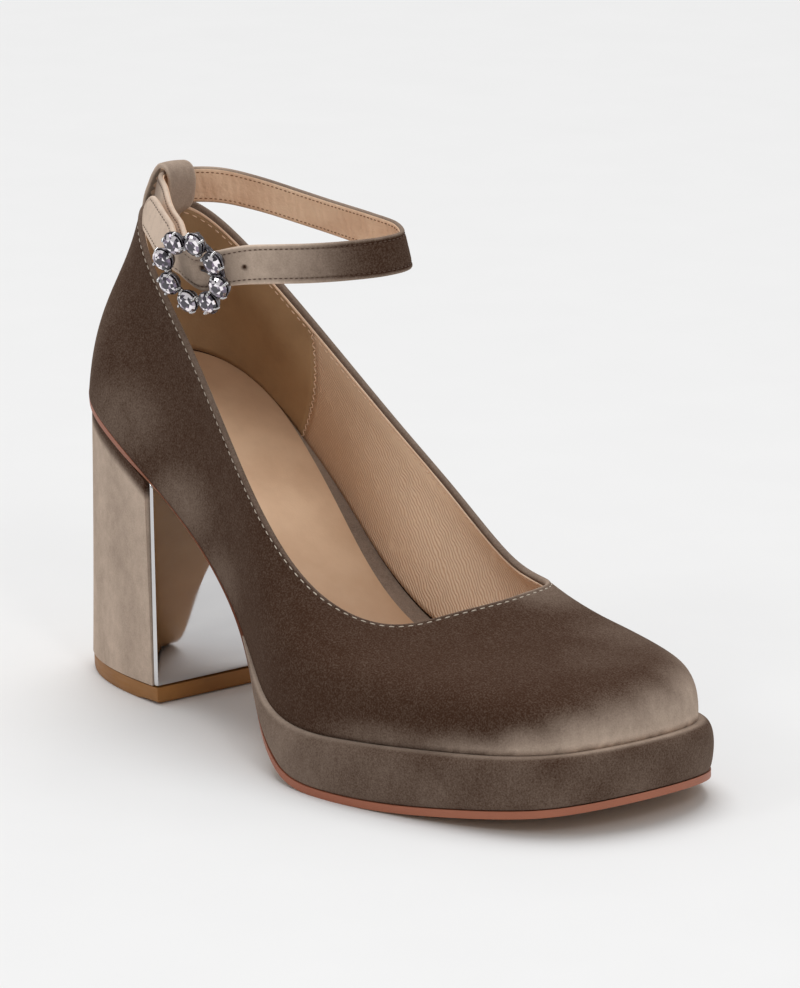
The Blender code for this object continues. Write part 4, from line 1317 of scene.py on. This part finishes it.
def open_spline(points, steps=12):
    """A smooth open curve through points; close ones don't make it overshoot."""
    points = np.asarray(points, float)
    ends = np.vstack([2 * points[0] - points[1], points, 2 * points[-1] - points[-2]])
    made = []
    for a, b, c, d in zip(ends, ends[1:], ends[2:], ends[3:]):
        before, during, after = (math.sqrt(np.linalg.norm(q - p)) for p, q in ((a, b), (b, c), (c, d)))
        leave = (b - a) / before - (c - a) / (before + during) + (c - b) / during
        arrive = (c - b) / during - (d - b) / (during + after) + (d - c) / after
        for t in np.arange(steps) / steps:
            s = 1 - t
            through = b * (1 + 2 * t) * s * s + c * (3 - 2 * t) * t * t
            made.append(through + during * (leave * t * s * s - arrive * t * t * s))
    made.append(points[-1])
    return np.array(made)


def strip_along(route, step, side_at, extra=0.0, flip=1.0):
    """Evenly spaced frames along a route: middle, the way across the strip and the way out of it."""
    line = open_spline(route)
    if extra:
        line = np.vstack([line, line[-1] + extra * unit(line[-1] - line[-2])])
    done = lengths_along(line)
    wanted = np.linspace(0, done[-1], int(done[-1] / step) + 1)
    middle = read_along(line, done, wanted)
    heading = unit(np.gradient(middle, axis=0))
    side = np.array([side_at(point) for point in middle])
    side = unit(side - np.sum(side * heading, axis=1, keepdims=True) * heading)
    return Strip(middle, side, flip * np.cross(side, heading), wanted)


def on_strip(strip, across, lift):
    """Points beside a strip's middle line, across it and out from it."""
    across, lift = np.broadcast_to(across, len(strip.middle)), np.broadcast_to(lift, len(strip.middle))
    return strip.middle + across[:, None] * strip.side + lift[:, None] * strip.out


def strip_sheet(strip, halves, thick, relief, shade, bow=0.0):
    """A closed strip with round edges: over its face, round one edge, back inside, round the other."""
    ring = []
    shades = []
    flat = halves - thick / 2
    for share in np.linspace(-1, 1, FACE_COUNT):
        lifted = relief(strip.done, share * flat, halves)
        ring.append(on_strip(strip, share * flat, thick / 2 + lifted))
        shades.append(shade(strip.middle, share * flat, lifted))
    for turn in EDGE_TURNS:
        ring.append(on_strip(strip, flat + thick / 2 * math.sin(turn), thick / 2 * math.cos(turn)))
        shades.append(shade(strip.middle, halves, 0.0))
    for share in np.linspace(1, -1, BACK_COUNT):
        ring.append(on_strip(strip, share * flat, -thick / 2))
        shades.append(shade(strip.middle, share * flat, 0.0))
    for turn in EDGE_TURNS[::-1]:
        ring.append(on_strip(strip, -flat - thick / 2 * math.sin(turn), thick / 2 * math.cos(turn)))
        shades.append(shade(strip.middle, halves, 0.0))
    ring = np.stack(ring + ring[:1])
    ring[:, :, 0] += bow * ((ring[:, :, 1] - strip.middle[None, :, 1]) / halves[None, :].max()) ** 2
    return close_up(wrapped_grid(ring, {"nap": np.stack(shades + shades[:1])}))


print("strip helpers ready")

# %% The strap's form
STRAP_WIDE = 11.4
STRAP_THICK = 1.4
STRAP_TIP = 5.2
STRAP_STITCH = 1.5  # from the strap's edge
TIP_RUN = 1.9  # past the last place of the route
TIP_BLUNT = 0.06  # cut off at the very end
TIP_NARROW = 0.9  # half the least width
STRAP_STEP = 0.5
HOLES = [(-13.7, -0.5), (-1.5, 1.7)]  # along the strap from the bar, and up across it
HOLE_RADIUS = 0.75
HOLE_DEPTH = 0.95
HOLE_EDGE = 0.12
BUCKLE_REACH = (18, 8)  # from the bar, where the strap starts to stand as it does, and does so fully
STRAP_GROOVE = Groove(0.22, 0.42)
STRAP_CROWN = 0.14
STRAP_FOLD = 0.14
STRAP_FOLD_REACH = 8.0  # to both sides of the bar
bar_up = np.array(buckle_axes @ Vector((0, 1, 0)))


def strap_side(point):
    """Straight up with a lean to the ankle, and as the buckle's bar stands near the buckle."""
    inward = np.array(ANKLE_AT) - point[:2]
    inward = unit(inward) * math.tan(math.radians(STRAP_LEAN))
    near = ramp(np.linalg.norm(point - np.array(BUCKLE_AT)), *BUCKLE_REACH)
    return (1 - near) * np.array([*inward, 1.0]) + near * bar_up


def strap_relief(done, across, halves):
    """Stitched grooves near both edges, a soft crown, folds over the bar, and the punched holes."""
    past_bar = done - BUCKLE_RUN
    relief = STRAP_CROWN * np.clip(1 - (across / halves) ** 2, 0, 1)
    relief = relief - STRAP_GROOVE.depth * hill(halves - abs(across) - STRAP_STITCH, STRAP_GROOVE.width)
    folds = np.sin(across * 3.2 + 1.2 * np.sin(done * 0.35))
    relief = relief + STRAP_FOLD * folds * hill(past_bar, STRAP_FOLD_REACH)
    for along, up in HOLES:
        from_rim = np.hypot(past_bar - along, across - up) - HOLE_RADIUS
        relief = relief - HOLE_DEPTH / 2 * (1 - np.tanh(from_rim / (2 * HOLE_EDGE)))
    return relief


StrapShade = namedtuple("StrapShade", "x y z reach shade")
# Patches of painted sheen: where the strap catches the light it is paler, palest at its tail.
STRAP_SHADES = [
    StrapShade(44, -21, 143, 17, 1.00),
    StrapShade(60, -26, 138, 13, 0.72),
    StrapShade(84, -16, 135, 14, 0.66),
    StrapShade(95, -2, 135, 9, 0.20),
    StrapShade(30, 10, 147, 14, 0.30),
    StrapShade(73, 27, 141, 26, 0.12),
]
STRAP_SHADE = 0.02
# Painted highlight along the strips' rounded edges, and painted shade down in the strap's grooves and holes.
STRAP_EDGE_HIGHLIGHT = 0.24
GROOVE_SHADE = 0.9  # less, for each millimetre down in a groove
HIGHLIT_EDGE = (1.0, 0.2)  # in from a strip's edge, where it starts to pale and is palest


def highlit_edge(across, wide, count):
    """How far places across a strip lie in its edge, which gets a painted highlight."""
    start, full = wide / 2 - np.array(HIGHLIT_EDGE)
    return ramp(abs(np.broadcast_to(across, count)), start, full)


def strap_nap(middle, across, lifted):
    """The strap's nap: its patches of painted sheen, the painted highlight on its edges, and painted shade in
    its grooves and holes.
    """
    shade = np.full(len(middle), STRAP_SHADE)
    for patch in STRAP_SHADES:
        away = np.linalg.norm(middle - np.array([patch.x, patch.y, patch.z]), axis=1)
        shade = shade + patch.shade * hill(away, patch.reach)
    shade = shade + STRAP_EDGE_HIGHLIGHT * highlit_edge(across, STRAP_WIDE, len(middle))
    return np.clip(shade + GROOVE_SHADE * np.minimum(lifted, 0.0), 0, 1)


def rounded_tip(strip, half, radius):
    """Half widths along a strip whose last end is rounded."""
    left = np.clip(strip.done[-1] - strip.done, TIP_BLUNT, radius)
    return half - radius + np.sqrt(radius**2 - (radius - left) ** 2)


strap = strip_along(STRAP_ROUTE, STRAP_STEP, strap_side, extra=TIP_RUN)
strap_halves = np.maximum(rounded_tip(strap, STRAP_WIDE / 2, STRAP_TIP), TIP_NARROW)
over_bar = np.array(OVER_BAR)
BUCKLE_RUN = strap.done[np.argmin(np.linalg.norm(strap.middle - over_bar, axis=1))]
print("strap:", round(strap.done[-1], 1), "mm long, over the bar at", round(BUCKLE_RUN, 1))

# %% Wrap the strap
new_piece(
    "velvet_strap",
    strip_sheet(strap, strap_halves, STRAP_THICK, strap_relief, strap_nap),
    velvet,
    ["ankle_strap"],
)

# %% [markdown]
# ## The strap's lining and its stitches
# A thinner strip of pinkish tan leather is glued inside and caught by the same two rows of
# stitches. Small wrinkles run across it. It starts behind the fold at the bar, because there the
# velvet itself is turned in.

# %% Strap lining
STRAP_LINING = 0.2
LINING_FROM = 21.0  # along the strap, behind the fold round the bar
STRAP_LINING_INSET = 0.5
WRINKLES = 0.14
GLUED = 0.05  # how far the lining's back goes into the strip
LINING_NARROW = 0.6  # half its least width
LINING_COUNT = 13  # places across it


def part_of(strip, first, last):
    """A stretch of a strip between two lengths along it."""
    keep = (strip.done >= first) & (strip.done <= last)
    return Strip(*(values[keep] for values in strip)), keep


def lining_strip(name, strip, halves, thick, inset, material):
    """A thin sheet against the inside of a strip."""
    lined_halves = np.maximum(halves - inset, LINING_NARROW)
    face = []
    for share in np.linspace(-1, 1, LINING_COUNT):
        ripple = np.sin(strip.done * 2.3 + 1.5 * share) * np.sin(strip.done * 0.31 + share) * (1 - share**4)
        face.append(on_strip(strip, share * lined_halves, -thick / 2 - STRAP_LINING + WRINKLES * ripple))
    back = [on_strip(strip, share * lined_halves, -thick / 2 + GLUED) for share in (1.0, -1.0)]
    sheet = np.stack(face + back + face[:1])
    new_piece(name, close_up(wrapped_grid(sheet)), material)


lined, lined_rows = part_of(strap, LINING_FROM, strap.done[-1])
lining_strip("strap_lining", lined, strap_halves[lined_rows], STRAP_THICK, STRAP_LINING_INSET, strap_leather)

# %% Strap stitches
STRAP_PITCH = 1.5
STRAP_STITCH_LONG = 1.0
STRAP_STITCH_SUNK = 0.14
STITCH_FROM = 11.5  # along the strap
STITCH_STOP = 2.2  # before its tip
EDGE_INSET = STRAP_WIDE / 2 - STRAP_STITCH
outside, _ = part_of(strap, STITCH_FROM, strap.done[-1] - STITCH_STOP)
stitches = []
lining_rows = []
for edge in (-EDGE_INSET, EDGE_INSET):
    line = on_strip(outside, edge, STRAP_THICK / 2 - STRAP_STITCH_SUNK)
    stitches += stitch_row(line, outside.out, STRAP_PITCH, STRAP_STITCH_LONG)
    line = on_strip(lined, edge, -STRAP_THICK / 2 - STRAP_LINING)
    lining_rows += stitch_row(line, -lined.out, STRAP_PITCH, STRAP_STITCH_LONG)
new_piece("strap_stitches", joined_copies(small_bead(), stitches), dark_thread)
new_piece("strap_lining_stitches", joined_copies(small_bead(), lining_rows), rust_thread)
print("stitches on the strap:", len(stitches) + len(lining_rows))

# %% [markdown]
# ## The loop at the heel
# A short strip of velvet, sewn to both sides of the collar at the back, holds the strap up. It is
# the same kind of strip as the strap, bowed a little because it follows the round of the heel.

# %% Wrap the loop
LOOP_WIDE = 10.0
LOOP_THICK = 1.4
LOOP_STEP = 0.6
LOOP_BOW = 0.7
LOOP_CROWN = 0.22
# The loop's nap is painted sheen, with a painted highlight along its edges.
LOOP_SHADE = 0.50
LOOP_EDGE_HIGHLIGHT = 0.18
LOOP_OPEN = (13.0, 38.0)  # along the loop, where it isn't sewn to the collar
LOOP_LINING_INSET = 0.9
ACROSS_HEEL = np.array([0.0, 1.0, 0.0])


def loop_relief(done, across, halves):
    """A soft crown."""
    return LOOP_CROWN * np.clip(1 - (across / halves) ** 2, 0, 1)


def loop_nap(middle, across, lifted):
    """One shade of painted sheen, with a painted highlight on its edges."""
    return np.clip(LOOP_SHADE + LOOP_EDGE_HIGHLIGHT * highlit_edge(across, LOOP_WIDE, len(middle)), 0, 1)


loop = strip_along(LOOP_ROUTE, LOOP_STEP, lambda point: ACROSS_HEEL, flip=-1.0)
loop_halves = np.full(len(loop.middle), LOOP_WIDE / 2)
new_piece(
    "velvet_loop",
    strip_sheet(loop, loop_halves, LOOP_THICK, loop_relief, loop_nap, bow=LOOP_BOW),
    velvet,
    ["heel_loop"],
)
open_loop, open_rows = part_of(loop, *LOOP_OPEN)
lining_strip("loop_lining", open_loop, loop_halves[open_rows], LOOP_THICK, LOOP_LINING_INSET, strap_leather)

# %% [markdown]
# ## The buckle
# Eight cut stones sit in round cups on a ring. A cup is a profile turned with `spin`, its four
# claws are small spheres that grip the stone's edge, and the ring that carries the cups is a round
# wire, a circle spun round the middle. All of it is drawn flat, in millimetres, and one matrix sets
# it on the strap.

# %% The ring and its cups
RING_RADIUS = 9.9
RING_HEIGHT = 5.5
RING_STEPS = 64
WIRE_RADIUS = 0.9
CUP_STEPS = 24
STONES = 8
Turned = namedtuple("Turned", "radius height")
CUP = [
    Turned(0.0, 4.8), Turned(1.9, 4.8), Turned(2.9, 5.5), Turned(3.55, 7.0), Turned(3.55, 7.5),
    Turned(3.25, 7.5), Turned(3.15, 7.1), Turned(2.5, 5.9), Turned(0.0, 5.4),
]
CLAWS = 4
CLAW_RADIUS = 3.45  # from the cup's middle
Bead = namedtuple("Bead", "height inset size")
CLAW = [Bead(7.3, 0.0, 0.50), Bead(7.8, 0.02, 0.48), Bead(8.3, 0.12, 0.46), Bead(8.7, 0.40, 0.44)]


def full_turn(bm, geometry, centre, steps):
    """Turns a drawn line once round an upright axis."""
    bmesh.ops.spin(
        bm, geom=geometry, cent=(*centre, 0), axis=(0, 0, 1), angle=2 * math.pi, steps=steps, use_merge=True
    )


def spun_ring(bm):
    """A round wire bent to a ring, which carries the cups, in a mesh that is still empty."""
    wire = Matrix.Translation((RING_RADIUS, 0, RING_HEIGHT)) @ Matrix.Rotation(math.pi / 2, 4, "X")
    bmesh.ops.create_circle(bm, segments=12, radius=WIRE_RADIUS, matrix=wire)
    full_turn(bm, [*bm.verts, *bm.edges], (0, 0), RING_STEPS)


def spun_cup(bm, centre):
    """A cup for one stone: its profile turned round the cup's own middle."""
    verts = [bm.verts.new((centre[0] + corner.radius, centre[1], corner.height)) for corner in CUP]
    edges = [bm.edges.new(pair) for pair in zip(verts, verts[1:])]
    full_turn(bm, verts + edges, centre, CUP_STEPS)


def claw_beads(centre, turn):
    """Matrices of the claws round a cup, each a row of beads that bends in over the stone."""
    beads = []
    for number in range(CLAWS):
        angle = turn + number * 2 * math.pi / CLAWS
        way = Vector((math.cos(angle), math.sin(angle), 0))
        foot = Vector((*centre, 0)) + way * CLAW_RADIUS
        for bead in CLAW:
            where = foot - way * bead.inset + Vector((0, 0, bead.height))
            beads.append(BUCKLE @ Matrix.Translation(where) @ Matrix.Scale(bead.size, 4))
    return beads


bm = bmesh.new()
spun_ring(bm)
stone_angles = (np.arange(STONES) + 0.5) * 2 * math.pi / STONES
stone_middles = [(RING_RADIUS * math.cos(angle), RING_RADIUS * math.sin(angle)) for angle in stone_angles]
for centre in stone_middles:
    spun_cup(bm, centre)
bmesh.ops.remove_doubles(bm, verts=bm.verts, dist=0.001)
bmesh.ops.recalc_face_normals(bm, faces=bm.faces)
bmesh.ops.transform(bm, matrix=BUCKLE, verts=bm.verts)
new_piece("buckle_cups", bm, cup_metal, ["buckle_frame"])
claws = []
for centre in stone_middles:
    claws += claw_beads(centre, math.atan2(centre[1], centre[0]) + math.pi / 4)
new_piece("buckle_claws", joined_copies(small_bead(), claws), chrome)

# %% [markdown]
# ## Cut stones
# A brilliant is a flat table, a crown of facets, a girdle and a pointed back. Rings of points at
# those heights, wrapped by `convex_hull`, give exactly those facets, and faces that lie in one
# plane are dissolved into one. The facets stay flat shaded: their edges are the sparkle. Each facet
# also gets its own painted glint, a brightness from a sine that jumps about from one facet to the
# next, and the table's painted glint stays rather dark.

# %% Cut and set the stones
STONE_RADIUS = 3.25
STONE_TURN = 1.1  # from each stone to the next
TABLE_HEIGHT = 9.3
TABLE_GLINT = 0.22
FACET_JUMP = 2.4  # along the sine from each facet to the next
STONE_JUMP = 5.0  # along it for each radian that a stone is turned
Ring = namedtuple("Ring", "count turn radius height")
CUT = [
    Ring(8, 0.0, 1.2, TABLE_HEIGHT),
    Ring(8, 0.5, 1.9, 9.1),
    Ring(16, 0.25, 2.65, 8.7),
    Ring(16, 0.25, STONE_RADIUS, 8.2),
    Ring(16, 0.25, STONE_RADIUS, 8.0),
    Ring(8, 0.5, 1.5, 6.7),
    Ring(4, 0.0, 0.2, 5.9),
]


def cut_stone(centre, turn):
    """A stone on its place in the ring, with a brightness for each facet."""
    bm = bmesh.new()
    for ring in CUT:
        spot = Matrix.Translation((*centre, ring.height))
        spot = spot @ Matrix.Rotation(turn + ring.turn * math.pi / 4, 4, "Z")
        bmesh.ops.create_circle(bm, segments=ring.count, radius=ring.radius, matrix=spot)
    bmesh.ops.convex_hull(bm, input=bm.verts)
    loose = [edge for edge in bm.edges if not edge.link_faces]
    bmesh.ops.delete(bm, geom=loose, context="EDGES")
    bmesh.ops.dissolve_limit(bm, angle_limit=math.radians(1), verts=bm.verts, edges=bm.edges)
    bmesh.ops.recalc_face_normals(bm, faces=bm.faces)
    # Each facet's painted glint.
    glint = bm.faces.layers.float.new("facet")
    for number, face in enumerate(bm.faces):
        is_table = face.calc_center_median().z > TABLE_HEIGHT - 0.01
        swing = math.sin(FACET_JUMP * number + STONE_JUMP * turn)
        face[glint] = TABLE_GLINT if is_table else 0.5 + 0.5 * swing
    bmesh.ops.transform(bm, matrix=BUCKLE, verts=bm.verts)
    return bm


for number, centre in enumerate(stone_middles, start=1):
    cut = cut_stone(centre, number * STONE_TURN)
    stone = new_piece(f"cut_stone_{number}", cut, crystal, [f"buckle_stone_{number}"])
    stone.data.shade_flat()

# %% [markdown]
# ## Bar and prong
# The bar and the prong are plain wires, mostly hidden by the strap, so finer copies of their solids
# are enough.

# %% Bar and prong
for node in ("buckle_bar", "buckle_prong"):
    finer_copy(node, f"{node}_wire", cup_metal, levels=1, keep_angle=70)
